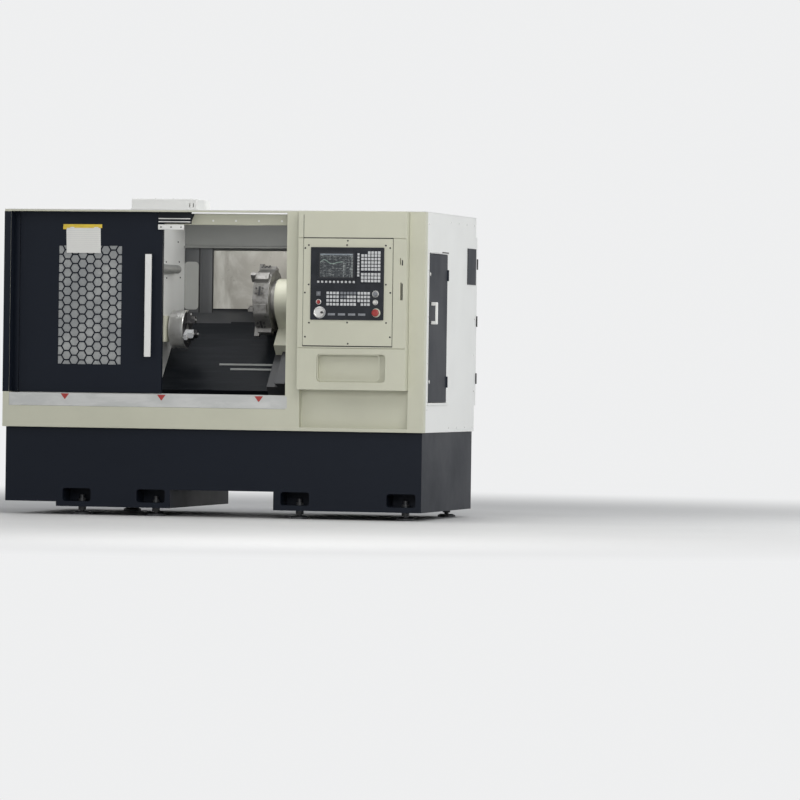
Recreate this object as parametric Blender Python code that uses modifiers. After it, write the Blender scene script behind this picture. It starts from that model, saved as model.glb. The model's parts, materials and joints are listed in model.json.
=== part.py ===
"""A slant-bed CNC turning lathe, in metres, +Z up, with its front facing -Y.

Lengths along Y are first given as a depth behind the front plane, the plane of the
apron and the columns. The empty machine_datum shifts that plane so that the origin
is under the middle of the machine. Slide ways, carriage and turret are laid out in a
slanted frame on the spindle axis: its Y climbs the bed and its Z leaves it.
"""

import bmesh
import bpy
from math import acos, atan2, cos, hypot, pi, radians, sin, sqrt
from mathutils import Vector

GAP = 0.0003  # between two pieces that touch or fit

# Overall sizes
WIDTH = 2.400
BODY_DEPTH = 1.450  # front plane to the back of the electrical cabinet
SHELL_TOP = 1.660
SIDE_HANDLE_REACH = 0.035

# Base
BASE_TOP = 0.475
BASE_BOTTOM = 0.045
BASE_DEPTH = 1.180
BASE_SETBACK = 0.030
OVERHANG_Z = 0.070
OVERHANG_X = -0.897
TUNNEL_X = (-0.250, 0.330)
TUNNEL_TOP = 0.145
POCKET_WIDTH = 0.160
POCKET_Z = (0.073, 0.145)
POCKET_DEPTH = 0.140
FOOT_X = (-0.780, -0.360, 0.450, 1.040)
FOOT_SETBACK = 0.110
FOOT_RADIUS = 0.050
FOOT_PAD = 0.016
STUD_RADIUS = 0.012
STUD_ROOM = 0.002

# Bed and slide ways, in the slanted frame
SLANT = radians(45)
SPINDLE_DEPTH = 0.400
SPINDLE_Z = 1.020
BED_DROP = 0.260  # spindle axis to the bed's slanted face
BED_LOW = -0.330
BED_HIGH = 0.430
BED_X = (-1.080, 0.960)
BED_BACK = 1.020
BED_RIB = 0.060
RAIL_WIDTH = 0.035
RAIL_HEIGHT = 0.032
RAIL_Y = (-0.215, 0.245)
RAIL_X = (-0.400, 0.940)
WAY_ROOM = 0.0006

# Carriage, turret and tailstock
SADDLE_X = (0.200, 0.500)
SADDLE_Y = (-0.265, 0.330)
SADDLE_THICK = 0.055
CROSS_X = (0.205, 0.440)
CROSS_Y = (-0.020, 0.360)
DOVETAIL_HEIGHT = 0.026
DOVETAIL_WIDTH = 0.150
TURRET_Y = 0.233
TURRET_X = 0.097
TURRET_THICK = 0.090
TURRET_ACROSS = 0.330
TURRET_STATIONS = 12
TURRET_NECK = 0.110
TOOL_REACH = 0.040
TAIL_X = (0.660, 0.880)
TAIL_WIDTH = 0.230
QUILL_RADIUS = 0.035
QUILL_ROOM = 0.0003
QUILL_REACH = 0.045
CENTRE_REACH = 0.075
SCREW_RADIUS = 0.0125
SCREW_Y = 0.020
SCREW_LIFT = 0.0155

# Headstock, spindle and chuck
HEAD_X = (-0.960, -0.440)
HEAD_WIDTH = 0.300
HEAD_ROUND = 0.135
NOSE_FACE = -0.3600
SPINDLE_RADIUS = 0.055
SPINDLE_BORE = 0.026
SPINDLE_ROOM = 0.0003
PULLEY_X = (-1.050, -0.990)
PULLEY_RADIUS = 0.105
MOTOR_PULLEY_RADIUS = 0.070
MOTOR_DROP = 0.3475
MOTOR_SETBACK = -0.175
BELT_ROOM = 0.0006
MOTOR_X = (-0.960, -0.620)
MOTOR_WIDTH = 0.190
BELT_THICK = 0.006
CHUCK_X = (-0.353, -0.270)
CHUCK_RADIUS = 0.105
JAW_WIDTH = 0.034
JAW_RIM = 0.092
JAW_INNER = 0.020
JAW_REACH = 0.045
JAW_KEY = 0.012
JAW_TRAVEL = 0.0037

# Enclosure, seen from the front
SHEET = 0.004
FRAME_DEPTH = 0.050
APRON_Z = (0.476, 0.592)
SILL_TOP = 0.6665
TRACK_RISE = 0.0035
OPENING_X = (-0.319, 0.396)
LEFT_FLANGE = 0.037
COLUMN_WIDTH = 0.080
CONTROL_X = (0.476, 1.076)
CONTROL_Z = (0.700, 1.660)
CONTROL_REACH = 0.065
CONTROL_DEPTH = 0.150
TOE_SETBACK = 0.045
DOOR_X = (-1.128, -0.319)
DOOR_Z = (0.667, 1.650)
DOOR_SETBACK = 0.060
DOOR_THICK = 0.030
DOOR_TRAVEL = OPENING_X[1] - DOOR_X[1]
WINDOW_X = (-0.906, -0.549)
WINDOW_Z = (0.820, 1.467)
HEX_PITCH = 0.050
HEX_WEB = 0.007
HEX_SHEET = 0.003
PANE_MARGIN = 0.030
PANE_THICK = 0.006
HANDLE_X = (-0.405, -0.370)
HANDLE_Z = (0.865, 1.423)
HANDLE_REACH = 0.042
HANDLE_THICK = 0.012
HANDLE_POST = 0.030
RAIL_BEAM_Z = (1.586, 1.644)
RAIL_BEAM_THICK = 0.060
HOOD_X = (-0.480, -0.110)
HOOD_RISE = 0.058
HOOD_DEPTH = 0.260
HOOD_SLOT = (0.012, 0.034)
INNER_LEFT = -0.425
INNER_RIGHT = 0.966
WALL = 0.005
INNER_BACK = 1.030
INNER_TOP = 1.650
COVER_DEPTH = 0.870  # the sliding stainless guard's front face
COVER_Z = (1.140, 1.463)
COVER_LEFT = -0.258
ROOF_EDGE = 0.620
SIDE_BACK = 1.200
LOWER_POCKET_X = (0.587, 0.965)
LOWER_POCKET_Z = (0.743, 0.892)
LOWER_POCKET_DEPTH = 0.050
LOWER_POCKET_ROUND = 0.018

# Right side and rear
SERVICE_D = (0.090, 0.520)
SERVICE_Z = (0.640, 1.440)
SERVICE_THICK = 0.020
SERVICE_GAP = 0.003
SERVICE_HANDLE_Z = (1.060, 1.180)
HINGE_RADIUS = 0.008
CABINET_X = (0.250, 1.115)
CABINET_Z = (0.620, 1.560)
CABINET_DOOR = 0.022
LATCH_RADIUS = 0.016
LATCH_REACH = 0.012

# Operator station, on the control housing
PLATE_X = (0.508, 1.001)
PLATE_Z = (0.938, 1.513)
PLATE_THICK = 0.004
PANEL_X = (0.550, 0.955)
PANEL_Z = (1.076, 1.466)
PANEL_THICK = 0.006
PANEL_SPLIT = 1.251
SCREEN_X = (0.590, 0.800)
SCREEN_Z = (1.292, 1.446)
SCREEN_FRAME = 0.014
KEYPAD_X = (0.828, 0.938)
KEYPAD_Z = (1.270, 1.446)
KEY_RISE = 0.005
HANDWHEEL = (0.603, 1.116)
HANDWHEEL_RADIUS = 0.029
HANDWHEEL_RISE = 0.020
CRANK_RISE = 0.024
ESTOP = (0.915, 1.116)
ESTOP_RADIUS = 0.020
ESTOP_RISE = 0.028
POWER_BUTTON = (0.596, 1.172)
BUTTON_RADIUS = 0.011
BUTTON_RISE = 0.009
BUTTON_TRAVEL = 0.003
KEY_SWITCH = (0.910, 1.172)
OVERRIDE_KNOB = (0.910, 1.217)
KNOB_RADIUS = 0.014
KNOB_RISE = 0.018
STEM = 0.0045
STEM_ROOM = 0.0004

# Places that follow from the sizes
X_LEFT = -WIDTH / 2
X_RIGHT = WIDTH / 2 - SIDE_HANDLE_REACH
PANEL_FACE = -CONTROL_REACH - PLATE_THICK - PANEL_THICK - 3 * GAP
WHEEL_TIP = HANDWHEEL_RISE + CRANK_RISE
FRONT_REACH = WHEEL_TIP - PANEL_FACE - GAP
FRONT_Y = FRONT_REACH - (FRONT_REACH + BODY_DEPTH) / 2
UP_BED = Vector((0, cos(SLANT), sin(SLANT)))
OFF_BED = Vector((0, -sin(SLANT), cos(SLANT)))
BED_FACE = -BED_DROP
SADDLE_FOOT = BED_FACE + 0.012
SADDLE_TOP = BED_FACE + RAIL_HEIGHT + SADDLE_THICK


def start_scene():
    for item in list(bpy.data.objects):
        bpy.data.objects.remove(item)
    groups = []
    for name in ("turning_lathe", "cutters"):
        group = bpy.data.collections.new(name)
        bpy.context.scene.collection.children.link(group)
        groups.append(group)
    return groups


PARTS, CUTTERS = start_scene()
FINISHES = {}


def finish(name, colour, roughness, metallic=0.0):
    """A finish that several pieces share the look of; each piece gets its own copy."""
    FINISHES[name] = (colour, roughness, metallic)


finish("cream", (0.46, 0.47, 0.36), 0.45)
finish("white", (0.80, 0.80, 0.78), 0.40)
finish("navy", (0.015, 0.020, 0.032), 0.35)
finish("film", (0.40, 0.41, 0.41), 0.35)
finish("panel_black", (0.012, 0.014, 0.018), 0.45)
finish("steel", (0.48, 0.48, 0.47), 0.30, 1.0)
finish("stainless", (0.42, 0.42, 0.39), 0.35, 1.0)
finish("iron", (0.10, 0.10, 0.11), 0.55, 0.6)
finish("dark", (0.045, 0.045, 0.05), 0.50)
finish("rubber", (0.010, 0.010, 0.010), 0.80)
finish("red", (0.45, 0.03, 0.02), 0.40)
finish("grey", (0.30, 0.31, 0.31), 0.45)
finish("smoked", (0.10, 0.11, 0.12), 0.15)


def paint(item, look):
    colour, roughness, metallic = FINISHES[look]
    material = bpy.data.materials.new(item.name + "_" + look)
    material.use_nodes = True
    shader = material.node_tree.nodes["Principled BSDF"]
    shader.inputs["Base Color"].default_value = (*colour, 1)
    shader.inputs["Roughness"].default_value = roughness
    shader.inputs["Metallic"].default_value = metallic
    item.data.materials.clear()
    item.data.materials.append(material)


def frame(name, location=(0, 0, 0), rotation=(0, 0, 0), parent=None):
    """An empty that carries pieces; a moving group's lies on its joint axis."""
    empty = bpy.data.objects.new(name, None)
    PARTS.objects.link(empty)
    empty.location = location
    empty.rotation_euler = rotation
    empty.parent = parent
    return empty


DATUM = frame("machine_datum", (0, FRONT_Y, 0))
SLANTED = frame("slanted_frame", (0, SPINDLE_DEPTH, SPINDLE_Z), (SLANT, 0, 0), DATUM)
ALONG_X = (0, pi / 2, 0)  # a turned piece's own Z laid along +X
FACING_FRONT = (pi / 2, 0, 0)  # a turned piece's own Z laid along -Y
PROFILE_ALONG_X = (pi / 2, 0, pi / 2)  # a flat outline of Y and Z, drawn out along X


def add(name, mesh, look, parent, location=(0, 0, 0), rotation=(0, 0, 0)):
    """A named piece, or a hidden helper for Booleans where no look is given."""
    item = bpy.data.objects.new(name, mesh)
    (PARTS if look else CUTTERS).objects.link(item)
    item.parent = parent or DATUM
    item.location = location
    item.rotation_euler = rotation
    if look:
        paint(item, look)
    else:
        item.hide_render = True
        item.display_type = "WIRE"
    return item


def shade(mesh):
    mesh.shade_smooth()
    mesh.set_sharp_from_angle(angle=radians(35))


def mesh_from(bm, name):
    mesh = bpy.data.meshes.new(name)
    bm.to_mesh(mesh)
    bm.free()
    return mesh


def box(name, x, y, z, look=None, parent=None, bevel=0.0):
    """A block from low to high along each axis of its parent's frame."""
    bm = bmesh.new()
    bmesh.ops.create_cube(bm, size=1)
    size = [high - low for low, high in (x, y, z)]
    bmesh.ops.scale(bm, vec=size, verts=bm.verts)
    middle = [(low + high) / 2 for low, high in (x, y, z)]
    item = add(name, mesh_from(bm, name), look, parent, middle)
    if bevel:
        soften(item, bevel)
    return item


def soften(item, width, segments=2, angle=40):
    edge = item.modifiers.new("edges", "BEVEL")
    edge.width = width
    edge.segments = segments
    edge.limit_method = "ANGLE"
    edge.angle_limit = radians(angle)
    return item


def rod(name, radius, length, look, parent, location, rotation=ALONG_X, sides=32, tip=None):
    """A round bar from its location along its own Z; tip is the far end's radius."""
    bm = bmesh.new()
    far = radius if tip is None else tip
    bmesh.ops.create_cone(
        bm, cap_ends=True, segments=sides, radius1=radius, radius2=far, depth=length
    )
    bmesh.ops.translate(bm, vec=(0, 0, length / 2), verts=bm.verts)
    mesh = mesh_from(bm, name)
    shade(mesh)
    return add(name, mesh, look, parent, location, rotation)


def turned(name, profile, look, parent, location, rotation=ALONG_X, steps=32):
    """A turned piece: (radius, height) points down the outer side, closed on the axis."""
    mesh = bpy.data.meshes.new(name)
    bm = bmesh.new()
    points = [bm.verts.new((radius, 0, height)) for radius, height in profile]
    for a, b in zip(points, points[1:]):
        bm.edges.new((a, b))
    if profile[0][0] > 0:
        bm.edges.new((points[-1], points[0]))
    bm.to_mesh(mesh)
    bm.free()
    item = add(name, mesh, look, parent, location, rotation)
    turn = item.modifiers.new("turn", "SCREW")
    turn.steps = steps
    turn.render_steps = steps
    turn.use_merge_vertices = True
    turn.merge_threshold = 0.00001
    turn.use_smooth_shade = True
    return item


def outline(name, loops, thick, look, parent, location, rotation):
    """A flat outline with its holes, drawn out evenly both ways from its location."""
    curve = bpy.data.curves.new(name, "CURVE")
    curve.dimensions = "2D"
    curve.fill_mode = "BOTH"
    curve.extrude = thick / 2
    for loop in loops:
        spline = curve.splines.new("POLY")
        spline.points.add(len(loop) - 1)
        for point, (a, b) in zip(spline.points, loop):
            point.co = (a, b, 0, 1)
        spline.use_cyclic_u = True
    guide = bpy.data.objects.new(name + "_outline", curve)
    CUTTERS.objects.link(guide)
    graph = bpy.context.evaluated_depsgraph_get()
    mesh = bpy.data.meshes.new_from_object(guide.evaluated_get(graph))
    bpy.data.objects.remove(guide)
    bm = bmesh.new()
    bm.from_mesh(mesh)
    bmesh.ops.remove_doubles(bm, verts=bm.verts, dist=0.00001)
    bm.to_mesh(mesh)
    bm.free()
    mesh.name = name
    return add(name, mesh, look, parent, location, rotation)


def front_sheet(name, loops, depth, look=None, parent=None):
    """An outline of X and Z, drawn out from the first depth to the second."""
    thick = depth[1] - depth[0]
    place = (0, (depth[0] + depth[1]) / 2, 0)
    return outline(name, loops, thick, look, parent, place, FACING_FRONT)


def side_section(name, loops, x, look=None, parent=None):
    """An outline of Y and Z, drawn out along X."""
    place = ((x[0] + x[1]) / 2, 0, 0)
    return outline(name, loops, x[1] - x[0], look, parent, place, PROFILE_ALONG_X)


def rectangle(x, z):
    return [(x[0], z[0]), (x[1], z[0]), (x[1], z[1]), (x[0], z[1])]


def rounded(x, z, radius, steps=4):
    """A rectangle with round corners."""
    corners = (
        (x[1] - radius, z[1] - radius, 0),
        (x[0] + radius, z[1] - radius, 90),
        (x[0] + radius, z[0] + radius, 180),
        (x[1] - radius, z[0] + radius, 270),
    )
    points = []
    for cx, cz, start in corners:
        for n in range(steps + 1):
            turn = radians(start + 90 * n / steps)
            points.append((cx + radius * cos(turn), cz + radius * sin(turn)))
    return points


def regular(sides, radius, centre=(0, 0), start=0.0):
    cx, cy = centre
    turns = [start + 2 * pi * n / sides for n in range(sides)]
    return [(cx + radius * cos(t), cy + radius * sin(t)) for t in turns]


def grown(span, by):
    return (span[0] - by, span[1] + by)


def boolean(item, other, operation, solver="EXACT"):
    step = item.modifiers.new(operation.lower(), "BOOLEAN")
    step.operation = operation
    step.object = other
    step.solver = solver
    return item


def cut(item, *cutters):
    for cutter in cutters:
        boolean(item, cutter, "DIFFERENCE")
    return item


def join(item, *others):
    for other in others:
        boolean(item, other, "UNION")
    return item


def on_bed(y, z):
    """Depth and height of a point of the slanted frame."""
    point = Vector((0, SPINDLE_DEPTH, SPINDLE_Z)) + UP_BED * y + OFF_BED * z
    return (point.y, point.z)


def foot(name, x, depth):
    """A levelling foot: pad, jack nut under the base, stud and lock nut in the pocket."""
    floor = POCKET_Z[0] + GAP
    under = BASE_BOTTOM - GAP
    nut = STUD_RADIUS * 1.8
    profile = [
        (0, floor + 0.034),
        (STUD_RADIUS, floor + 0.034),
        (STUD_RADIUS, floor + 0.014),
        (nut, floor + 0.014),
        (nut, floor),
        (STUD_RADIUS, floor),
        (STUD_RADIUS, under),
        (nut, under),
        (nut, FOOT_PAD + 0.008),
        (STUD_RADIUS, FOOT_PAD + 0.008),
        (STUD_RADIUS, FOOT_PAD),
        (FOOT_RADIUS * 0.7, FOOT_PAD),
        (FOOT_RADIUS, FOOT_PAD * 0.6),
        (FOOT_RADIUS, 0),
        (0, 0),
    ]
    return turned(name, profile, "iron", None, (x, depth, 0), (0, 0, 0), 12)


def make_base():
    left, right = X_LEFT + 0.013, X_RIGHT - 0.013
    back = BASE_SETBACK + BASE_DEPTH
    edge = [
        (left, OVERHANG_Z),
        (OVERHANG_X, OVERHANG_Z),
        (OVERHANG_X, BASE_BOTTOM),
        (TUNNEL_X[0], BASE_BOTTOM),
        (TUNNEL_X[0], TUNNEL_TOP),
        (TUNNEL_X[1], TUNNEL_TOP),
        (TUNNEL_X[1], BASE_BOTTOM),
        (right, BASE_BOTTOM),
        (right, BASE_TOP),
        (left, BASE_TOP),
    ]
    base = front_sheet("base", [edge], (BASE_SETBACK, back), "navy")
    half = POCKET_WIDTH / 2
    rows = (BASE_SETBACK + FOOT_SETBACK, back - FOOT_SETBACK)
    for n, x in enumerate(FOOT_X):
        shape = rounded((x - half, x + half), POCKET_Z, 0.014, 3)
        fronts = (BASE_SETBACK - 0.01, BASE_SETBACK + POCKET_DEPTH)
        backs = (back - POCKET_DEPTH, back + 0.01)
        for m, depth in enumerate((fronts, backs) if n in (0, len(FOOT_X) - 1) else (fronts,)):
            cut(base, front_sheet(f"foot_pocket_{n}_{m}", [shape], depth))
            bore = rod(
                f"stud_hole_{n}_{m}",
                STUD_RADIUS + STUD_ROOM,
                POCKET_Z[0] - BASE_BOTTOM + 0.02,
                None,
                None,
                (x, rows[m], BASE_BOTTOM - 0.01),
                (0, 0, 0),
                20,
            )
            cut(base, bore)
            foot(f"levelling_foot_{2 * n + m + 1}", x, rows[m])


def make_bed():
    low, high = on_bed(BED_LOW, BED_FACE), on_bed(BED_HIGH, BED_FACE)
    floor = BASE_TOP + GAP
    section = [(low[0], floor), (BED_BACK, floor), (BED_BACK, high[1]), high, low]
    bed = side_section("bed", [section], BED_X, "iron")
    count = 4
    bay = (BED_X[1] - BED_X[0] - BED_RIB) / count
    for n in range(count):
        start = BED_X[0] + BED_RIB + n * bay
        span = (start, start + bay - BED_RIB)
        depth = (low[0] + 0.330, BED_BACK + 0.01)
        height = (floor + BED_RIB, high[1] - 0.190)
        cut(bed, box(f"bed_bay_{n}", span, depth, height))
    screw_z = BED_FACE + SCREW_LIFT
    ends = (RAIL_X[0] - 0.020, RAIL_X[1] + 0.010)
    for n, x in enumerate(((ends[0] - 0.002, ends[0] + 0.018), (ends[1] - 0.024, ends[1]))):
        y = (SCREW_Y - 0.035, SCREW_Y + 0.035)
        lid = screw_z + SCREW_RADIUS + 0.003
        block = box(f"screw_block_{n}", x, y, (BED_FACE - 0.01, lid), None, SLANTED)
        join(bed, block)
        hole = SCREW_RADIUS + GAP
        start = (x[0] - 0.01, SCREW_Y, screw_z)
        cut(bed, rod(f"screw_seat_{n}", hole, 0.05, None, SLANTED, start))
    for n, y in enumerate(RAIL_Y):
        half = RAIL_WIDTH / 2
        waist = half - 0.004
        foot_z, top = BED_FACE + GAP, BED_FACE + RAIL_HEIGHT
        ring = [(-half, foot_z), (half, foot_z), (half, foot_z + 0.010)]
        ring += [(waist, foot_z + 0.014), (waist, top - 0.010), (half, top - 0.006)]
        ring += [(half, top), (-half, top), (-half, top - 0.006), (-waist, top - 0.010)]
        ring += [(-waist, foot_z + 0.014), (-half, foot_z + 0.010)]
        shape = [(y + a, b) for a, b in ring]
        side_section(f"z_rail_{n + 1}", [shape], RAIL_X, "steel", SLANTED)
    z_axis = frame("z_screw_axis", (0, SCREW_Y, screw_z), ALONG_X, SLANTED)
    length = ends[1] - ends[0]
    rod("z_screw", SCREW_RADIUS, length, "steel", z_axis, (0, 0, ends[0]), (0, 0, 0), 24)


def way_grooves():
    """The underside of a slide that straddles both rails and the screw."""
    foot_z = SADDLE_FOOT
    top = BED_FACE + RAIL_HEIGHT + WAY_ROOM
    half = RAIL_WIDTH / 2 + WAY_ROOM
    screw_half = SCREW_RADIUS + WAY_ROOM
    screw_top = BED_FACE + SCREW_LIFT + screw_half
    points = []
    steps = ((RAIL_Y[0], half, top), (SCREW_Y, screw_half, screw_top), (RAIL_Y[1], half, top))
    for middle, side, height in steps:
        points += [(middle - side, foot_z), (middle - side, height)]
        points += [(middle + side, height), (middle + side, foot_z)]
    return points


def make_headstock():
    foot_z = BED_FACE + GAP
    arc = [
        (HEAD_ROUND * cos(radians(t)), HEAD_ROUND * sin(radians(t))) for t in range(0, 181, 15)
    ]
    wide = HEAD_WIDTH / 2
    section = [(wide, foot_z), (wide, foot_z + 0.060)] + arc
    section += [(-wide, foot_z + 0.060), (-wide, foot_z)]
    head = side_section("headstock", [section], HEAD_X, "iron", SLANTED)
    hole = SPINDLE_RADIUS + SPINDLE_ROOM
    length = HEAD_X[1] - HEAD_X[0] + 0.02
    start = (HEAD_X[0] - 0.01, 0, 0)
    cut(head, rod("spindle_bore", hole, length, None, SLANTED, start, ALONG_X, 48))

    nose = [rectangle((0.270, 0.530), (SPINDLE_Z - 0.072, SPINDLE_Z + 0.072))]
    cover = side_section("nose_cover", nose, (INNER_LEFT + GAP, NOSE_FACE), "cream")
    soften(cover, 0.004)
    ring = SPINDLE_RADIUS + 0.005
    start = (INNER_LEFT - 0.01, SPINDLE_DEPTH, SPINDLE_Z)
    cut(cover, rod("nose_bore", ring, 0.10, None, None, start, ALONG_X, 48))


def belt_loop(extra):
    """The line of a belt round both pulleys, this far outside their rims."""
    near = (SPINDLE_DEPTH, SPINDLE_Z, PULLEY_RADIUS + extra)
    far = (SPINDLE_DEPTH + MOTOR_SETBACK, SPINDLE_Z - MOTOR_DROP, MOTOR_PULLEY_RADIUS + extra)
    run, drop = far[0] - near[0], far[1] - near[1]
    facing = atan2(drop, run)
    spread = acos((near[2] - far[2]) / hypot(run, drop))
    points = []
    steps = 20
    for (d, z, r), start, end in (
        (far, facing - spread, facing + spread),
        (near, facing + spread, facing + 2 * pi - spread),
    ):
        for n in range(steps + 1):
            turn = start + (end - start) * n / steps
            points.append((d + r * cos(turn), z + r * sin(turn)))
    return points


def make_drive():
    spin = frame("spindle_axis", (0, SPINDLE_DEPTH, SPINDLE_Z), ALONG_X, DATUM)
    back, front = HEAD_X[0] - 0.110, CHUCK_X[0] - GAP
    profile = [
        (SPINDLE_BORE, front),
        (SPINDLE_RADIUS, front),
        (SPINDLE_RADIUS, PULLEY_X[1]),
        (PULLEY_RADIUS, PULLEY_X[1]),
        (PULLEY_RADIUS, PULLEY_X[0]),
        (SPINDLE_RADIUS, PULLEY_X[0]),
        (SPINDLE_RADIUS * 0.8, back),
        (SPINDLE_BORE, back),
    ]
    turned("spindle", profile, "steel", spin, (0, 0, 0), (0, 0, 0), 48)

    rim, face = CHUCK_RADIUS, CHUCK_X[1]
    profile = [
        (SPINDLE_BORE, face),
        (rim - 0.004, face),
        (rim, face - 0.004),
        (rim, CHUCK_X[0] + 0.030),
        (rim - 0.003, CHUCK_X[0] + 0.030),
        (rim - 0.003, CHUCK_X[0]),
        (SPINDLE_BORE, CHUCK_X[0]),
    ]
    chuck = turned("chuck", profile, "steel", spin, (0, 0, 0), (0, 0, 0), 48)
    for n in range(3):
        turn = frame(f"jaw_{n + 1}_way", (0, 0, 0), (0, 0, radians(180 + 120 * n)), spin)
        half = JAW_KEY / 2
        slot_floor = face - JAW_KEY - WAY_ROOM
        slot = box(
            f"jaw_slot_{n + 1}",
            (JAW_INNER, rim + 0.01),
            grown((-half, half), WAY_ROOM),
            (slot_floor, face + 0.01),
            None,
            turn,
        )
        cut(chuck, slot)
        seat = face + GAP
        inner = JAW_INNER + 0.012
        shape = [
            (inner, seat),
            (JAW_RIM, seat),
            (JAW_RIM, seat + JAW_REACH * 0.4),
            (JAW_RIM - 0.022, seat + JAW_REACH * 0.4),
            (JAW_RIM - 0.022, seat + JAW_REACH),
            (inner, seat + JAW_REACH),
        ]
        width = (-JAW_WIDTH / 2, JAW_WIDTH / 2)
        jaw = front_sheet(f"jaw_{n + 1}", [shape], width, "white", turn)
        key = box(
            f"jaw_key_{n + 1}",
            (inner + 0.006, JAW_RIM - 0.006),
            (-half, half),
            (face - JAW_KEY, seat + 0.004),
            None,
            turn,
        )
        join(jaw, key)

    motor_d, motor_z = SPINDLE_DEPTH + MOTOR_SETBACK, SPINDLE_Z - MOTOR_DROP
    half = MOTOR_WIDTH / 2
    across = (motor_d - half, motor_d + half)
    shape = rounded(across, (motor_z - half, motor_z + half), 0.020, 3)
    motor = side_section("spindle_motor", [shape], MOTOR_X, "iron")
    feet = box("motor_feet", grown(MOTOR_X, -0.05), across, (BASE_TOP + GAP, motor_z - half + 0.02))
    join(motor, feet)
    axis = frame("motor_axis", (0, motor_d, motor_z), ALONG_X, DATUM)
    rod("motor_shaft_room", 0.0203, 0.03, None, axis, (0, 0, MOTOR_X[0] - 0.01), (0, 0, 0), 24)
    cut(motor, bpy.data.objects["motor_shaft_room"])
    profile = [
        (0, MOTOR_X[0] + 0.018),
        (0.020, MOTOR_X[0] + 0.018),
        (0.020, PULLEY_X[1]),
        (MOTOR_PULLEY_RADIUS, PULLEY_X[1]),
        (MOTOR_PULLEY_RADIUS, PULLEY_X[0]),
        (0, PULLEY_X[0]),
    ]
    turned("motor_pulley", profile, "steel", axis, (0, 0, 0), (0, 0, 0), 48)
    loops = [belt_loop(BELT_ROOM + BELT_THICK), belt_loop(BELT_ROOM)]
    side_section("drive_belt", loops, grown(PULLEY_X, -0.004), "rubber")


def make_carriage():
    ends = [(SADDLE_Y[1], SADDLE_FOOT), (SADDLE_Y[1], SADDLE_TOP)]
    ends += [(SADDLE_Y[0], SADDLE_TOP), (SADDLE_Y[0], SADDLE_FOOT)]
    saddle = side_section("saddle", [way_grooves() + ends], SADDLE_X, "iron", SLANTED)
    middle = sum(CROSS_X) / 2
    top, half = SADDLE_TOP + DOVETAIL_HEIGHT, DOVETAIL_WIDTH / 2
    narrow = half - 0.016
    tail = [
        (middle - narrow, SADDLE_TOP - 0.01),
        (middle + narrow, SADDLE_TOP - 0.01),
        (middle + narrow, SADDLE_TOP),
        (middle + half, top),
        (middle - half, top),
        (middle - narrow, SADDLE_TOP),
    ]
    join(saddle, front_sheet("dovetail", [tail], SADDLE_Y, None, SLANTED))

    seat = SADDLE_TOP + GAP
    room = WAY_ROOM
    block_top = -0.095
    shape = [
        (CROSS_X[0], seat),
        (middle - narrow - room, seat),
        (middle - half - room, top + room),
        (middle + half + room, top + room),
        (middle + narrow + room, seat),
        (CROSS_X[1], seat),
        (CROSS_X[1], block_top),
        (CROSS_X[0], block_top),
    ]
    cross = front_sheet("cross_slide", [shape], CROSS_Y, "cream", SLANTED)
    radius = 0.120
    arc = [
        (TURRET_Y + radius * cos(radians(t)), radius * sin(radians(t)))
        for t in range(0, 181, 15)
    ]
    low = block_top - 0.01
    housing = [(TURRET_Y - radius, low), (TURRET_Y + radius, low)] + arc
    join(cross, side_section("turret_housing", [housing], CROSS_X, None, SLANTED))

    axis = frame("turret_axis", (0, TURRET_Y, 0), ALONG_X, SLANTED)
    face = TURRET_X
    back = TURRET_X + TURRET_THICK
    flat = TURRET_ACROSS / 2
    step = 2 * pi / TURRET_STATIONS
    corner = flat / cos(step / 2)
    middle = (face + back) / 2
    disc = outline(
        "turret_disc",
        [regular(TURRET_STATIONS, corner, start=step / 2)],
        TURRET_THICK,
        "steel",
        axis,
        (0, 0, middle),
        (0, 0, 0),
    )
    neck_length = CROSS_X[0] - GAP - back + 0.01
    neck = rod("turret_neck", TURRET_NECK, neck_length, None, axis, (0, 0, back - 0.01), (0, 0, 0), 36)
    boss = rod("turret_boss", 0.060, 0.024, None, axis, (0, 0, face - 0.014), (0, 0, 0), 36)
    join(disc, neck, boss)
    for n in range(TURRET_STATIONS):
        station = frame(f"station_{n + 1}", (0, 0, 0), (0, 0, n * step), axis)
        if n % 2:
            hole = rod(
                f"boring_seat_{n}", 0.013, 0.05, None, station, (flat - 0.045, 0, face - 0.01),
                (0, 0, 0), 16,
            )
            cut(disc, hole)
        else:
            block = box(
                f"tool_block_{n}",
                (flat - 0.02, flat + 0.024),
                (-0.026, 0.026),
                (face + 0.006, back - 0.006),
                None,
                station,
                0.002,
            )
            shank = box(
                f"tool_shank_{n}",
                (flat - 0.015, flat + TOOL_REACH),
                (-0.008, 0.012),
                (face - 0.016, face + 0.012),
                None,
                station,
            )
            join(disc, block, shank)
    place_cover()


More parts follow.
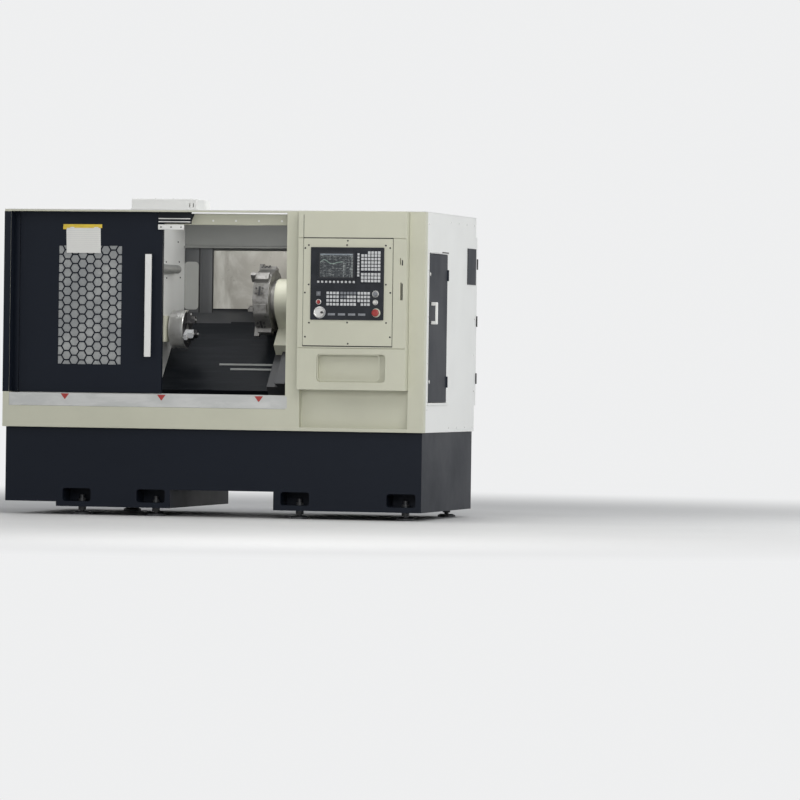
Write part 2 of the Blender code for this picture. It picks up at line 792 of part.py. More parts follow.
def place_cover():
    """The stainless guard behind the turret, carried by the saddle's upper end."""
    x = (COVER_LEFT, SADDLE_X[1] + 0.06)
    cover = box("saddle_cover", x, (COVER_DEPTH, COVER_DEPTH + 0.003), COVER_Z, "stainless")
    seat = SADDLE_Y[1] + GAP
    arm = [on_bed(seat, SADDLE_TOP - 0.062), (COVER_DEPTH + 0.001, COVER_Z[0])]
    arm += [(COVER_DEPTH + 0.001, COVER_Z[0] + 0.035), on_bed(seat, SADDLE_TOP - 0.007)]
    for n, start in enumerate((SADDLE_X[0] + 0.020, SADDLE_X[1] - 0.050)):
        join(cover, side_section(f"cover_arm_{n}", [arm], (start, start + 0.030)))
    for name, span, inset in (
        ("way_cover_fixed", (INNER_LEFT + 0.0015, -0.062), 0.0),
        ("way_cover_moving", (-0.120, SADDLE_X[0] - GAP), 0.006),
    ):
        y = grown((RAIL_Y[0] - 0.032, RAIL_Y[1] + 0.032), inset)
        top = BED_FACE + RAIL_HEIGHT + 0.004 + inset
        sheet = 0.003
        low = BED_FACE + GAP
        shape = [(y[0], low), (y[0] + sheet, low), (y[0] + sheet, top - sheet)]
        shape += [(y[1] - sheet, top - sheet), (y[1] - sheet, low), (y[1], low)]
        shape += [(y[1], top), (y[0], top)]
        side_section(name, [shape], span, "dark", SLANTED)


def make_tailstock():
    y = (SADDLE_Y[0], RAIL_Y[1] + 0.040)
    top = BED_FACE + RAIL_HEIGHT + 0.045
    ends = [(y[1], SADDLE_FOOT), (y[1], top), (y[0], top), (y[0], SADDLE_FOOT)]
    tail = side_section("tailstock", [way_grooves() + ends], TAIL_X, "cream", SLANTED)
    radius = 0.068
    arc = [(radius * cos(radians(t)), radius * sin(radians(t))) for t in range(0, 181, 15)]
    column = [(-TAIL_WIDTH / 2, top - 0.01), (TAIL_WIDTH / 2, top - 0.01)] + arc
    join(tail, side_section("tail_column", [column], TAIL_X, None, SLANTED))
    hole = QUILL_RADIUS + QUILL_ROOM
    length = TAIL_X[1] - TAIL_X[0] + 0.02
    start = (TAIL_X[0] - 0.01, 0, 0)
    cut(tail, rod("quill_bore", hole, length, None, SLANTED, start, ALONG_X, 32))
    quill_start = TAIL_X[0] - QUILL_REACH
    axis = frame("quill_axis", (0, 0, 0), ALONG_X, SLANTED)
    length = TAIL_X[1] - 0.010 - quill_start
    rod("quill", QUILL_RADIUS, length, "steel", axis, (0, 0, quill_start), (0, 0, 0), 32)
    tip = quill_start - GAP - CENTRE_REACH
    base = quill_start - GAP
    profile = [(0, base), (0.026, base), (0.026, base - 0.030), (0.015, base - 0.036), (0, tip)]
    turned("live_centre", profile, "steel", axis, (0, 0, 0), (0, 0, 0), 32)


def make_front():
    hole_x = (X_LEFT + LEFT_FLANGE, OPENING_X[1])
    outer = [
        (X_LEFT, APRON_Z[0]),
        (X_RIGHT, APRON_Z[0]),
        (X_RIGHT, SHELL_TOP),
        (CONTROL_X[1], SHELL_TOP),
        (CONTROL_X[1], CONTROL_Z[0]),
        (CONTROL_X[0], CONTROL_Z[0]),
        (CONTROL_X[0], SHELL_TOP),
        (X_LEFT, SHELL_TOP),
    ]
    hole = rectangle(hole_x, (APRON_Z[1], SHELL_TOP - 0.008))
    front = front_sheet("front_frame", [outer, hole], (0, FRAME_DEPTH), "cream")
    toe = (APRON_Z[0] + 0.020, CONTROL_Z[0] + 0.01)
    cut(front, box("toe_recess", CONTROL_X, (-0.02, TOE_SETBACK), toe))

    sill_x = grown(hole_x, -GAP)
    top = SILL_TOP - TRACK_RISE
    sill = box("sill", sill_x, (0, 0.100), (APRON_Z[1] + GAP, top), "film")
    track_d = (DOOR_SETBACK + 0.008, DOOR_SETBACK + DOOR_THICK - 0.008)
    track_x = (DOOR_X[0], OPENING_X[1] - 0.002)
    join(sill, box("door_track", track_x, track_d, (top - 0.005, SILL_TOP)))

    beam_d = (DOOR_SETBACK + DOOR_THICK + GAP, DOOR_SETBACK + DOOR_THICK + RAIL_BEAM_THICK)
    beam_x = (X_LEFT + LEFT_FLANGE, CONTROL_X[0] - GAP)
    box("top_rail", beam_x, beam_d, RAIL_BEAM_Z, "cream", None, 0.003)

    fixed_d = (0.105, 0.105 + WALL)
    fixed_z = (top + GAP, RAIL_BEAM_Z[0] - GAP)
    box("front_left_panel", (X_LEFT + LEFT_FLANGE, INNER_LEFT), fixed_d, (0.480, fixed_z[1]), "grey")


def bed_clearance(room, back):
    """Depth and height along the bed's front and face, this far outside it, to a depth."""
    low, high = on_bed(BED_LOW, BED_FACE), on_bed(BED_HIGH, BED_FACE)
    shift = room * sqrt(2)
    return [
        (low[0] - room, BASE_TOP + 0.005),
        (low[0] - room, low[1] + shift - room),
        (high[0] - shift + room, high[1] + room),
        (back, high[1] + room),
    ]


def make_interior():
    start = 0.105 + WALL + GAP
    profile = [(start, BASE_TOP + 0.005)] + bed_clearance(0.003, INNER_BACK)
    profile += [(INNER_BACK, INNER_TOP), (start, INNER_TOP)]
    top_notch = box(
        "rail_notch", (INNER_LEFT - 0.1, INNER_LEFT + 0.1), (start - 0.01, 0.152), (1.583, INNER_TOP + 0.01)
    )
    left = side_section("inner_left_wall", [profile], (INNER_LEFT - WALL, INNER_LEFT), "white")
    cut(left, top_notch)
    ring = SPINDLE_RADIUS + 0.005
    place = (INNER_LEFT - 0.02, SPINDLE_DEPTH, SPINDLE_Z)
    cut(left, rod("wall_bore", ring, 0.04, None, None, place, ALONG_X, 48))
    slot_x = (INNER_LEFT - 0.1, INNER_LEFT + 0.1)
    slot_d = (COVER_DEPTH - 0.006, COVER_DEPTH + 0.009)
    cut(left, box("cover_slot", slot_x, slot_d, (COVER_Z[0] - 0.008, COVER_Z[1] + 0.008)))

    wall_low = on_bed(BED_HIGH, BED_FACE)[1] + 0.0035
    across = (INNER_LEFT + GAP, INNER_RIGHT)
    depth = (INNER_BACK - WALL - GAP, INNER_BACK - GAP)
    box("inner_rear_wall", across, depth, (wall_low, INNER_TOP), "grey")
    profile = [(start, BASE_TOP + 0.005)] + bed_clearance(0.003, INNER_BACK)
    profile += [(INNER_BACK, INNER_TOP), (start, INNER_TOP)]
    right_x = (INNER_RIGHT + GAP, INNER_RIGHT + WALL)
    side_section("inner_right_wall", [profile], right_x, "grey")

    low = on_bed(BED_LOW, BED_FACE)
    sheet = SHEET
    line = [(0.1005, 0.650), (0.190, 0.520), (0.260, 0.496), (low[0] - 0.004, 0.560)]
    under = [(d, z - sheet) for d, z in reversed(line)]
    pan_x = (INNER_LEFT + GAP, INNER_RIGHT)
    side_section("chip_pan", [line + under], pan_x, "dark")


def make_shell():
    side_z = (APRON_Z[0], SHELL_TOP)
    side_d = (FRAME_DEPTH + GAP, SIDE_BACK)
    box("left_side_panel", (X_LEFT, X_LEFT + 0.020), side_d, side_z, "white")

    skin = (X_RIGHT - SERVICE_THICK, X_RIGHT)
    right = box("right_side_panel", skin, side_d, side_z, "white")
    door_hole = box(
        "service_hole", grown(skin, 0.01), grown(SERVICE_D, SERVICE_GAP), grown(SERVICE_Z, SERVICE_GAP)
    )
    cut(right, door_hole)
    hinge = frame("service_hinge", (X_RIGHT, SERVICE_D[1] + SERVICE_GAP / 2, 0))
    hinge.parent = DATUM
    door = box("service_door", skin, SERVICE_D, SERVICE_Z, "navy")
    door.parent = hinge
    door.location -= hinge.location
    for n, z in enumerate((SERVICE_Z[0] + 0.080, SERVICE_Z[1] - 0.140)):
        knuckle = rod(
            f"knuckle_{n}", HINGE_RADIUS, 0.060, None, hinge, (0, 0, z), (0, 0, 0), 16
        )
        room = rod(
            f"knuckle_room_{n}", HINGE_RADIUS + 2 * GAP, 0.060 + 2 * GAP, None, hinge,
            (0, 0, z - GAP), (0, 0, 0), 16,
        )
        join(door, knuckle)
        cut(right, room)
    grip_d = (SERVICE_D[0] + 0.050, SERVICE_D[0] + 0.072)
    reach = WIDTH / 2 - X_RIGHT
    grip = box("service_handle", (X_RIGHT + GAP, X_RIGHT + reach), grip_d, SERVICE_HANDLE_Z, "white", None, 0.004)
    finger = (SERVICE_HANDLE_Z[0] + 0.018, SERVICE_HANDLE_Z[1] - 0.018)
    cut(grip, box("grip_gap", (X_RIGHT - 0.01, X_RIGHT + reach - 0.010), grown(grip_d, 0.01), finger))

    rear_d = (SIDE_BACK - 0.020, SIDE_BACK)
    rear_x = (X_LEFT + 0.020 + GAP, X_RIGHT - SERVICE_THICK - GAP)
    box("rear_panel", rear_x, rear_d, (APRON_Z[0], SHELL_TOP), "white")

    hole = rounded((INNER_LEFT + 0.010, 0.440), (0.175, ROOF_EDGE), 0.020)
    outer = rectangle((X_LEFT, X_RIGHT), (0, SIDE_BACK))
    place = (0, 0, SHELL_TOP + GAP + SHEET / 2)
    outline("roof", [outer, hole], SHEET, "white", None, place, (0, 0, 0))

    base_z = SHELL_TOP + SHEET + 2 * GAP
    hood_z = (base_z, base_z + HOOD_RISE)
    hood = box("top_hood", HOOD_X, (0, HOOD_DEPTH), hood_z, "white", None, 0.004)
    inside = box(
        "hood_inside", grown(HOOD_X, -SHEET), (SHEET, HOOD_DEPTH - SHEET), (base_z - 0.01, hood_z[1] - SHEET)
    )
    cut(hood, inside)
    for n in range(2):
        x = HOOD_X[1] - 0.045 + n * 0.020
        slot_z = (base_z + HOOD_SLOT[0], base_z + HOOD_SLOT[1])
        cut(hood, box(f"hood_slot_{n}", (x, x + 0.006), (-0.01, SHEET + 0.01), slot_z))

    cabinet_d = (SIDE_BACK + GAP, BODY_DEPTH - CABINET_DOOR - GAP)
    cabinet = box("cabinet", CABINET_X, cabinet_d, CABINET_Z, "white")
    inside = box("cabinet_inside", grown(CABINET_X, -0.012), (cabinet_d[0] + 0.012, BODY_DEPTH), grown(CABINET_Z, -0.012))
    cut(cabinet, inside)
    plate = box(
        "cabinet_board", grown(CABINET_X, -0.060), (cabinet_d[0] + 0.010, cabinet_d[0] + 0.020), grown(CABINET_Z, -0.060)
    )
    join(cabinet, plate)
    hinge = frame("cabinet_hinge", (CABINET_X[1], BODY_DEPTH - CABINET_DOOR / 2, 0), (0, 0, 0), DATUM)
    door = box("cabinet_door", CABINET_X, (BODY_DEPTH - CABINET_DOOR, BODY_DEPTH), CABINET_Z, "white", None, 0.003)
    door.parent = hinge
    door.location -= hinge.location


def clip(points, axis, limit, keep_above):
    """A convex outline cut off by a line across one axis."""
    kept = []
    for here, after in zip(points, points[1:] + points[:1]):
        a, b = here[axis] - limit, after[axis] - limit
        if not keep_above:
            a, b = -a, -b
        if a >= 0:
            kept.append(here)
        if a * b < 0:
            share = a / (a - b)
            kept.append(tuple(p + share * (q - p) for p, q in zip(here, after)))
    return kept


def outline_area(points):
    pairs = zip(points, points[1:] + points[:1])
    return abs(sum(a[0] * b[1] - b[0] * a[1] for a, b in pairs)) / 2


def hexagons(x, z, pitch, web):
    """Flat-topped hexagons in staggered columns over a window, cut off at its sides."""
    column = pitch * cos(radians(30))
    corner = (pitch - web) / 2 / cos(radians(30))
    middle = (sum(x) / 2, sum(z) / 2)
    columns = int((x[1] - x[0]) / column / 2) + 1
    rows = int((z[1] - z[0]) / pitch / 2) + 1
    cells = []
    for n in range(-columns, columns + 1):
        shift = pitch / 2 if n % 2 else 0.0
        for m in range(-rows, rows + 1):
            place = (middle[0] + n * column, middle[1] + m * pitch + shift)
            cell = regular(6, corner, place)
            for axis, span in ((0, x), (1, z)):
                cell = clip(cell, axis, span[0], True)
                cell = clip(cell, axis, span[1], False)
            ends = zip(cell, cell[1:] + cell[:1])
            cell = [a for a, b in ends if hypot(a[0] - b[0], a[1] - b[1]) > 0.0005]
            if len(cell) > 2 and outline_area(cell) > 0.20 * pitch * pitch:
                cells.append(cell)
    return cells


def make_door():
    slide = frame("door_slide", (0, 0, 0), (0, 0, 0), DATUM)
    depth = (DOOR_SETBACK, DOOR_SETBACK + DOOR_THICK)
    panel = rectangle(DOOR_X, DOOR_Z)
    cells = hexagons(WINDOW_X, WINDOW_Z, HEX_PITCH, HEX_WEB)
    door = front_sheet("door", [panel] + cells, depth, "navy", slide)
    margin = grown(WINDOW_X, PANE_MARGIN), grown(WINDOW_Z, PANE_MARGIN)
    back = (depth[0] + HEX_SHEET, depth[1] + 0.01)
    room = box("pane_room", margin[0], back, margin[1], None, slide)
    boolean(door, room, "DIFFERENCE", "MANIFOLD")
    pane_d = (depth[0] + HEX_SHEET + GAP, depth[0] + HEX_SHEET + GAP + PANE_THICK)
    pane_x, pane_z = grown(margin[0], -GAP), grown(margin[1], -GAP)
    box("door_pane", pane_x, pane_d, pane_z, "smoked", slide)
    grip_d = (depth[0] - HANDLE_REACH, depth[0] - HANDLE_REACH + HANDLE_THICK)
    handle = box("door_handle", HANDLE_X, grip_d, HANDLE_Z, "film", slide)
    for n, z in enumerate((HANDLE_Z[0] + 0.040, HANDLE_Z[1] - 0.040 - HANDLE_POST)):
        post_d = (grip_d[1] - 0.004, depth[0] - GAP)
        x = (sum(HANDLE_X) / 2 - 0.008, sum(HANDLE_X) / 2 + 0.008)
        join(handle, box(f"handle_post_{n}", x, post_d, (z, z + HANDLE_POST), None, slide))


def stem_hole(panel, name, place, radius, depth):
    x, z = place
    start = (x, PANEL_FACE + depth, z)
    cut(panel, rod(name, radius, depth + 0.01, None, None, start, FACING_FRONT, 24))


def make_station():
    face = -CONTROL_REACH
    housing_z = (CONTROL_Z[0] + GAP, CONTROL_Z[1])
    housing_x = grown(CONTROL_X, -GAP)
    housing_d = (face, face + CONTROL_DEPTH)
    housing = box("control_housing", housing_x, housing_d, housing_z, "cream")
    pocket = rounded(LOWER_POCKET_X, LOWER_POCKET_Z, LOWER_POCKET_ROUND)
    cut(housing, front_sheet("lower_pocket", [pocket], (face - 0.01, face + LOWER_POCKET_DEPTH)))
    line = 0.003
    door_z = (PLATE_Z[0] - 0.012, PLATE_Z[1] + 0.004)
    for n, z in enumerate(door_z):
        seam = (z - line, z)
        cut(housing, box(f"seam_{n}", grown(housing_x, 0.01), (face - 0.01, face + 0.006), seam))
    for n, (x, z) in enumerate(((1.040, (1.376, 1.410)), (1.044, (1.186, 1.280)))):
        cut(housing, box(f"side_slot_{n}", (x, x + 0.006), (face - 0.01, face + 0.020), z))

    plate_d = (face - GAP - PLATE_THICK, face - GAP)
    shape = rounded(PLATE_X, PLATE_Z, 0.006, 2)
    front_sheet("control_plate", [shape], plate_d, "cream")
    panel_d = (PANEL_FACE + GAP, PANEL_FACE + GAP + PANEL_THICK)
    shape = rounded(PANEL_X, PANEL_Z, 0.004, 2)
    panel = front_sheet("operator_panel", [shape], panel_d, "panel_black")
    split = (PANEL_SPLIT - 0.001, PANEL_SPLIT + 0.001)
    cut(panel, box("panel_split", grown(PANEL_X, 0.01), (panel_d[0] - 0.01, panel_d[0] + 0.0015), split))

    front = panel_d[0]
    screen = front_sheet(
        "screen", [rounded(SCREEN_X, SCREEN_Z, 0.005, 2)], (front - 0.012, front - GAP), "dark"
    )
    glass = (front - 0.02, front - 0.012 + 0.003)
    cut(screen, box("screen_glass", grown(SCREEN_X, -SCREEN_FRAME), glass, grown(SCREEN_Z, -SCREEN_FRAME)))
    keypad = box("keypad", KEYPAD_X, (front - 0.003, front - GAP), KEYPAD_Z, "panel_black")
    columns, rows = 6, 8
    wide = (KEYPAD_X[1] - KEYPAD_X[0]) / columns
    tall = (KEYPAD_Z[1] - KEYPAD_Z[0]) / rows
    for row in range(rows):
        keys = (KEYPAD_X[0] + 0.003, KEYPAD_X[1] - 0.003)
        z = KEYPAD_Z[0] + (row + 0.14) * tall
        bar = box(f"key_row_{row}", keys, (front - KEY_RISE - 0.003, front - 0.002), (z, z + tall * 0.72))
        join(keypad, bar)
    for column in range(1, columns):
        x = KEYPAD_X[0] + column * wide
        gap = box(
            f"key_gap_{column}", (x - 0.0018, x + 0.0018), (front - 0.03, front - 0.003), grown(KEYPAD_Z, 0.01)
        )
        cut(keypad, gap)

    make_controls(panel, front)


def make_controls(panel, front):
    """The wheel, buttons and switches, each on a stem in its own hole of the panel."""
    depth = PANEL_THICK + 0.01
    stem_reach = PANEL_THICK - 0.0010
    for name, place, radius, rise, look in (
        ("handwheel", HANDWHEEL, HANDWHEEL_RADIUS, HANDWHEEL_RISE, "steel"),
        ("emergency_stop", ESTOP, ESTOP_RADIUS, ESTOP_RISE, "red"),
        ("power_button", POWER_BUTTON, BUTTON_RADIUS, BUTTON_RISE, "red"),
        ("key_switch", KEY_SWITCH, BUTTON_RADIUS, BUTTON_RISE, "steel"),
        ("override_knob", OVERRIDE_KNOB, KNOB_RADIUS, KNOB_RISE, "dark"),
    ):
        x, z = place
        hole = rod(
            name + "_hole", STEM + STEM_ROOM, depth, None, None, (x, front + depth - 0.004, z), FACING_FRONT, 24
        )
        cut(panel, hole)
        travel = {"emergency_stop": 0.005, "power_button": BUTTON_TRAVEL}.get(name, 0.0)
        under = travel + GAP
        axis = frame(name + "_axis", (x, front, z), FACING_FRONT, DATUM)
        stem_end = -(stem_reach - travel)
        if name == "emergency_stop":
            profile = [(0, rise), (radius * 0.8, rise), (radius, rise - 0.004), (radius, rise - 0.012)]
            profile += [(radius * 0.62, rise - 0.016), (radius * 0.62, under)]
        else:
            profile = [(0, rise), (radius - 0.002, rise), (radius, rise - 0.002), (radius, under)]
        profile += [(STEM, under), (STEM, stem_end), (0, stem_end)]
        item = turned(name, profile, look, axis, (0, 0, 0), (0, 0, 0), 24)
        if name == "handwheel":
            grip = rod("crank", 0.005, CRANK_RISE + 0.002, None, axis, (0.019, 0, rise - 0.002), (0, 0, 0), 16)
            join(item, grip)
        if name == "key_switch":
            grip = box("key_bow", (-0.0015, 0.0015), (-0.008, 0.008), (rise - 0.002, rise + 0.012), None, axis)
            join(item, grip)
        if name == "override_knob":
            mark = box("knob_mark", (-0.001, 0.001), (0.004, radius + 0.01), (rise - 0.0012, rise + 0.01), None, axis)
            cut(item, mark)


make_base()
make_bed()
make_headstock()
make_drive()
make_carriage()
make_tailstock()
make_front()
make_interior()
make_shell()
make_door()
make_station()
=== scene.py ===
"""Finishes, fittings and stage for a slant-bed CNC turning lathe, laid out as an add-on.

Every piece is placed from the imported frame: metres, +Z up, the machine's front to -Y.
"""

import json
from math import cos, pi, radians, sin

import bmesh
import bpy
from bpy.props import FloatProperty, FloatVectorProperty, PointerProperty
from mathutils import Matrix, Vector


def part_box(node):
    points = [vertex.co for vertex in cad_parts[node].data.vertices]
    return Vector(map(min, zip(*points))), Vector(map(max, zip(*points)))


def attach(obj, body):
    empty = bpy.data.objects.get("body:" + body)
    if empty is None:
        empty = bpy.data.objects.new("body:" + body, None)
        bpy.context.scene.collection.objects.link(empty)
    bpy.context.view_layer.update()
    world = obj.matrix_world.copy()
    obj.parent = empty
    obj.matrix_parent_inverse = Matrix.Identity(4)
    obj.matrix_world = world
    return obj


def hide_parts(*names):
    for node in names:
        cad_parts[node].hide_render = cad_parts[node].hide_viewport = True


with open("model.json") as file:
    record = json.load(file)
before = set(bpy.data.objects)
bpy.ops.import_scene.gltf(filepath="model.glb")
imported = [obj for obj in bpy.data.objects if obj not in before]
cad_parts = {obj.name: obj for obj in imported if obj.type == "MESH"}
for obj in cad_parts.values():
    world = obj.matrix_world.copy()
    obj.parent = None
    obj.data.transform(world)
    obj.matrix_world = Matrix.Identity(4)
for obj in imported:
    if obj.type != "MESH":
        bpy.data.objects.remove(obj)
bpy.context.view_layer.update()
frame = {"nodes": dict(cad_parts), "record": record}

bl_info = {
    "name": "Turning Lathe Dressing",
    "version": (1, 0, 0),
    "blender": (4, 5, 0),
    "location": "3D View > Sidebar > Lathe",
    "description": "Finishes, fittings and stage for a slant-bed CNC turning lathe",
    "category": "Object",
}

LOW, HIGH = 0, 1
GAP = 0.0003  # from a sheet to a fitting that is set on it
PROUD = 0.0002  # from a skin to the back of a cover that is laid on it
MERGE = 0.00002  # points nearer than this are one
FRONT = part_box("front_frame")[LOW].y  # the plane of the apron and the columns


# Shader maths

class Wire:
    """A socket of a node tree; its operators add Math nodes."""

    def __init__(self, nodes, socket):
        self.nodes = nodes
        self.socket = socket

    def maths(self, operation, first, second):
        return self.nodes.node("ShaderNodeMath", {"operation": operation}, {0: first, 1: second})

    def __add__(self, other):
        return self.maths("ADD", self, other)

    def __sub__(self, other):
        return self.maths("SUBTRACT", self, other)

    def __rsub__(self, other):
        return self.maths("SUBTRACT", other, self)

    def __mul__(self, other):
        return self.maths("MULTIPLY", self, other)

    def __lt__(self, other):
        return self.maths("LESS_THAN", self, other)

    def __gt__(self, other):
        return self.maths("GREATER_THAN", self, other)

    __radd__ = __add__
    __rmul__ = __mul__

    def ramp(self, low, high, start=0.0, end=1.0):
        """This value taken from low..high to start..end, smoothly, and held beyond."""
        sockets = {0: self, 1: low, 2: high, 3: start, 4: end}
        return self.nodes.node(
            "ShaderNodeMapRange", {"interpolation_type": "SMOOTHSTEP"}, sockets
        )


class Nodes:
    """A node tree that is filled by calls."""

    def __init__(self, tree):
        self.tree = tree

    def node(self, kind, settings, sockets, output=0):
        made = self.tree.nodes.new(kind)
        for name, value in settings.items():
            setattr(made, name, value)
        for name, value in sockets.items():
            self.feed(made.inputs[name], value)
        return Wire(self, made.outputs[output])

    def feed(self, socket, value):
        if isinstance(value, Wire):
            self.tree.links.new(value.socket, socket)
        elif hasattr(value, "__len__") and len(value) == 3 and socket.type == "RGBA":
            socket.default_value = (*value, 1.0)
        else:
            socket.default_value = value

    def seen(self):
        """1 for the rays that show a surface: direct, mirrored or through glass."""
        result = 0.0
        for ray in ("Camera", "Glossy", "Transmission"):
            passed = self.node("ShaderNodeLightPath", {}, {}, f"Is {ray} Ray")
            result = passed.maths("MAXIMUM", passed, result)
        return result


class Finish(Nodes):
    """A procedural material that reads Object coordinates."""

    def __init__(self, name):
        self.material = bpy.data.materials.new(name)
        self.material.use_nodes = True
        super().__init__(self.material.node_tree)
        self.shader = self.tree.nodes["Principled BSDF"]
        self.place = self.node("ShaderNodeTexCoord", {}, {}, "Object")

    def stretched(self, scale, turn=(0, 0, 0)):
        return self.node(
            "ShaderNodeMapping", {}, {"Vector": self.place, "Scale": scale, "Rotation": turn}
        )

    def noise(self, scale, detail=3.0, roughness=0.5, stretch=None, distortion=0.0):
        place = self.stretched(stretch) if stretch else self.place
        sockets = {
            "Vector": place,
            "Scale": scale,
            "Detail": detail,
            "Roughness": roughness,
            "Distortion": distortion,
        }
        return self.node("ShaderNodeTexNoise", {}, sockets)

    def axis(self, name):
        return self.node("ShaderNodeSeparateXYZ", {}, {0: self.place}, name)

    def fraction(self, value):
        return self.node("ShaderNodeMath", {"operation": "FRACT"}, {0: value})

    def mix(self, factor, first, second):
        """A colour between two colours."""
        sockets = {0: factor, 6: first, 7: second}
        return self.node("ShaderNodeMix", {"data_type": "RGBA"}, sockets, 2)

    def bump(self, height, distance, strength=1.0):
        sockets = {"Strength": strength, "Distance": distance, "Height": height}
        return self.node("ShaderNodeBump", {}, sockets)

    def done(self, **sockets):
        for name, value in sockets.items():
            self.feed(self.shader.inputs[name.replace("_", " ")], value)
        return self.material


def sheet_paint(finish, colour, rough, grime=0.10, peel=0.00012, dusty=None):
    """Powder coat on sheet metal: fine orange peel, faint cloudiness, a little dust low down."""
    cloud = finish.noise(2.3, 4.0, 0.6)
    smear = finish.noise(9.0, 5.0, 0.65, (1.0, 1.0, 0.35), 0.6)
    dark = tuple(c * 0.80 for c in colour)
    base = finish.mix(cloud.ramp(0.35, 0.75) * grime * 3.0, colour, dark)
    soil = finish.noise(38.0, 4.0, 0.7).ramp(0.66, 0.80) * smear.ramp(0.5, 0.75)
    low = finish.axis("Z").ramp(0.10, 0.75, 1.0, 0.25)
    dust = dusty or tuple(c * 0.55 for c in colour)
    base = finish.mix(soil * low * (grime * 2.2), base, dust)
    rough_map = cloud.ramp(0.3, 0.8, rough - 0.05, rough + 0.06) + smear * 0.05
    peel_map = finish.bump(finish.noise(520.0, 2.0, 0.5), peel, 0.5)
    return finish.done(Base_Color=base, Roughness=rough_map, Normal=peel_map)


def cream_paint(finish):
    return sheet_paint(finish, tuple(chosen_looks().cream), 0.42, 0.10)


def white_paint(finish):
    return sheet_paint(finish, tuple(chosen_looks().white), 0.36, 0.06)


def navy_paint(finish):
    """Dark satin paint; a little pale dust settles on it low down."""
    finish.feed(finish.shader.inputs["Specular IOR Level"], 0.14)
    dust = (0.050, 0.056, 0.064)
    return sheet_paint(finish, tuple(chosen_looks().navy), 0.46, 0.12, 0.00010, dust)


def shaded_dark_sheet(finish):
    """Dark oily guard plates with rubbed streaks along the travel; their near-black colour is also
    painted shade, the shadow and dark reflections on the slanted covers.
    """
    finish.feed(finish.shader.inputs["Specular IOR Level"], 0.14)
    streak = finish.noise(30.0, 5.0, 0.6, (0.08, 1.0, 1.0))
    blotch = finish.noise(5.0, 4.0, 0.6)
    # painted shade: the near-black base colours stand for the shadow and dark reflections on the
    # slanted covers
    base = finish.mix(streak.ramp(0.4, 0.8), (0.009, 0.011, 0.014), (0.021, 0.023, 0.027))
    base = finish.mix(blotch.ramp(0.60, 0.85) * 0.4, base, (0.040, 0.040, 0.040))
    rough = streak.ramp(0.3, 0.8, 0.36, 0.54)
    return finish.done(
        Base_Color=base, Roughness=rough, Metallic=0.15, Normal=finish.bump(streak, 0.0002, 0.4)
    )


def brushed_stainless(finish):
    """Rolled stainless sheet with smeared oil and paler wiped patches."""
    grain = finish.noise(260.0, 3.0, 0.6, (0.02, 1.0, 1.0))
    smear = finish.noise(3.2, 5.0, 0.62, (1.0, 1.0, 0.6), 0.9)
    spots = finish.noise(21.0, 4.0, 0.7).ramp(0.62, 0.76)
    base = finish.mix(smear.ramp(0.40, 0.66), (0.50, 0.48, 0.43), (0.74, 0.73, 0.68))
    base = finish.mix(spots * 0.45, base, (0.22, 0.205, 0.18))
    stain = finish.noise(6.0, 5.0, 0.7, (1.0, 1.0, 0.8), 1.4).ramp(0.60, 0.70)
    base = finish.mix(stain * 0.55, base, (0.20, 0.20, 0.19))
    rough = smear.ramp(0.3, 0.75, 0.26, 0.46) + grain * 0.06
    return finish.done(
        Base_Color=base, Roughness=rough, Metallic=0.85, Normal=finish.bump(grain, 0.00006, 0.5)
    )


def bright_steel(finish):
    """Turned and ground steel, with fine marks round its axis and a thin film of oil."""
    ring = finish.noise(420.0, 2.0, 0.5, (1.0, 0.04, 0.04))
    smear = finish.noise(14.0, 4.0, 0.6)
    base = finish.mix(smear.ramp(0.4, 0.75), (0.60, 0.60, 0.585), (0.47, 0.465, 0.45))
    rough = smear.ramp(0.3, 0.8, 0.30, 0.40) + ring * 0.05
    return finish.done(
        Base_Color=base, Roughness=rough, Metallic=0.82, Normal=finish.bump(ring, 0.00003, 0.3)
    )


def dark_steel(finish):
    """Blackened tool steel rubbed bright in patches."""
    wear = finish.noise(24.0, 5.0, 0.65)
    base = finish.mix(wear.ramp(0.50, 0.72), (0.065, 0.064, 0.066), (0.26, 0.255, 0.25))
    rough = wear.ramp(0.4, 0.8, 0.46, 0.30)
    return finish.done(
        Base_Color=base, Roughness=rough, Metallic=0.9, Normal=finish.bump(wear, 0.0002, 0.3)
    )


def turret_steel(finish):
    """Hard-chromed disc, pale and a little stained in its corners."""
    stain = finish.noise(17.0, 5.0, 0.68)
    base = finish.mix(stain.ramp(0.46, 0.70), (0.25, 0.245, 0.235), (0.12, 0.115, 0.105))
    rough = stain.ramp(0.3, 0.8, 0.36, 0.50)
    return finish.done(
        Base_Color=base, Roughness=rough, Metallic=0.75, Normal=finish.bump(stain, 0.0001, 0.25)
    )


def cast_iron(finish):
    """Filled and painted casting."""
    grain = finish.noise(170.0, 4.0, 0.6)
    cloud = finish.noise(4.0, 3.0, 0.5)
    base = finish.mix(cloud.ramp(0.35, 0.75), (0.055, 0.057, 0.062), (0.095, 0.097, 0.10))
    rough = cloud.ramp(0.3, 0.8, 0.42, 0.60)
    return finish.done(
        Base_Color=base, Roughness=rough, Metallic=0.25, Normal=finish.bump(grain, 0.0005, 0.5)
    )


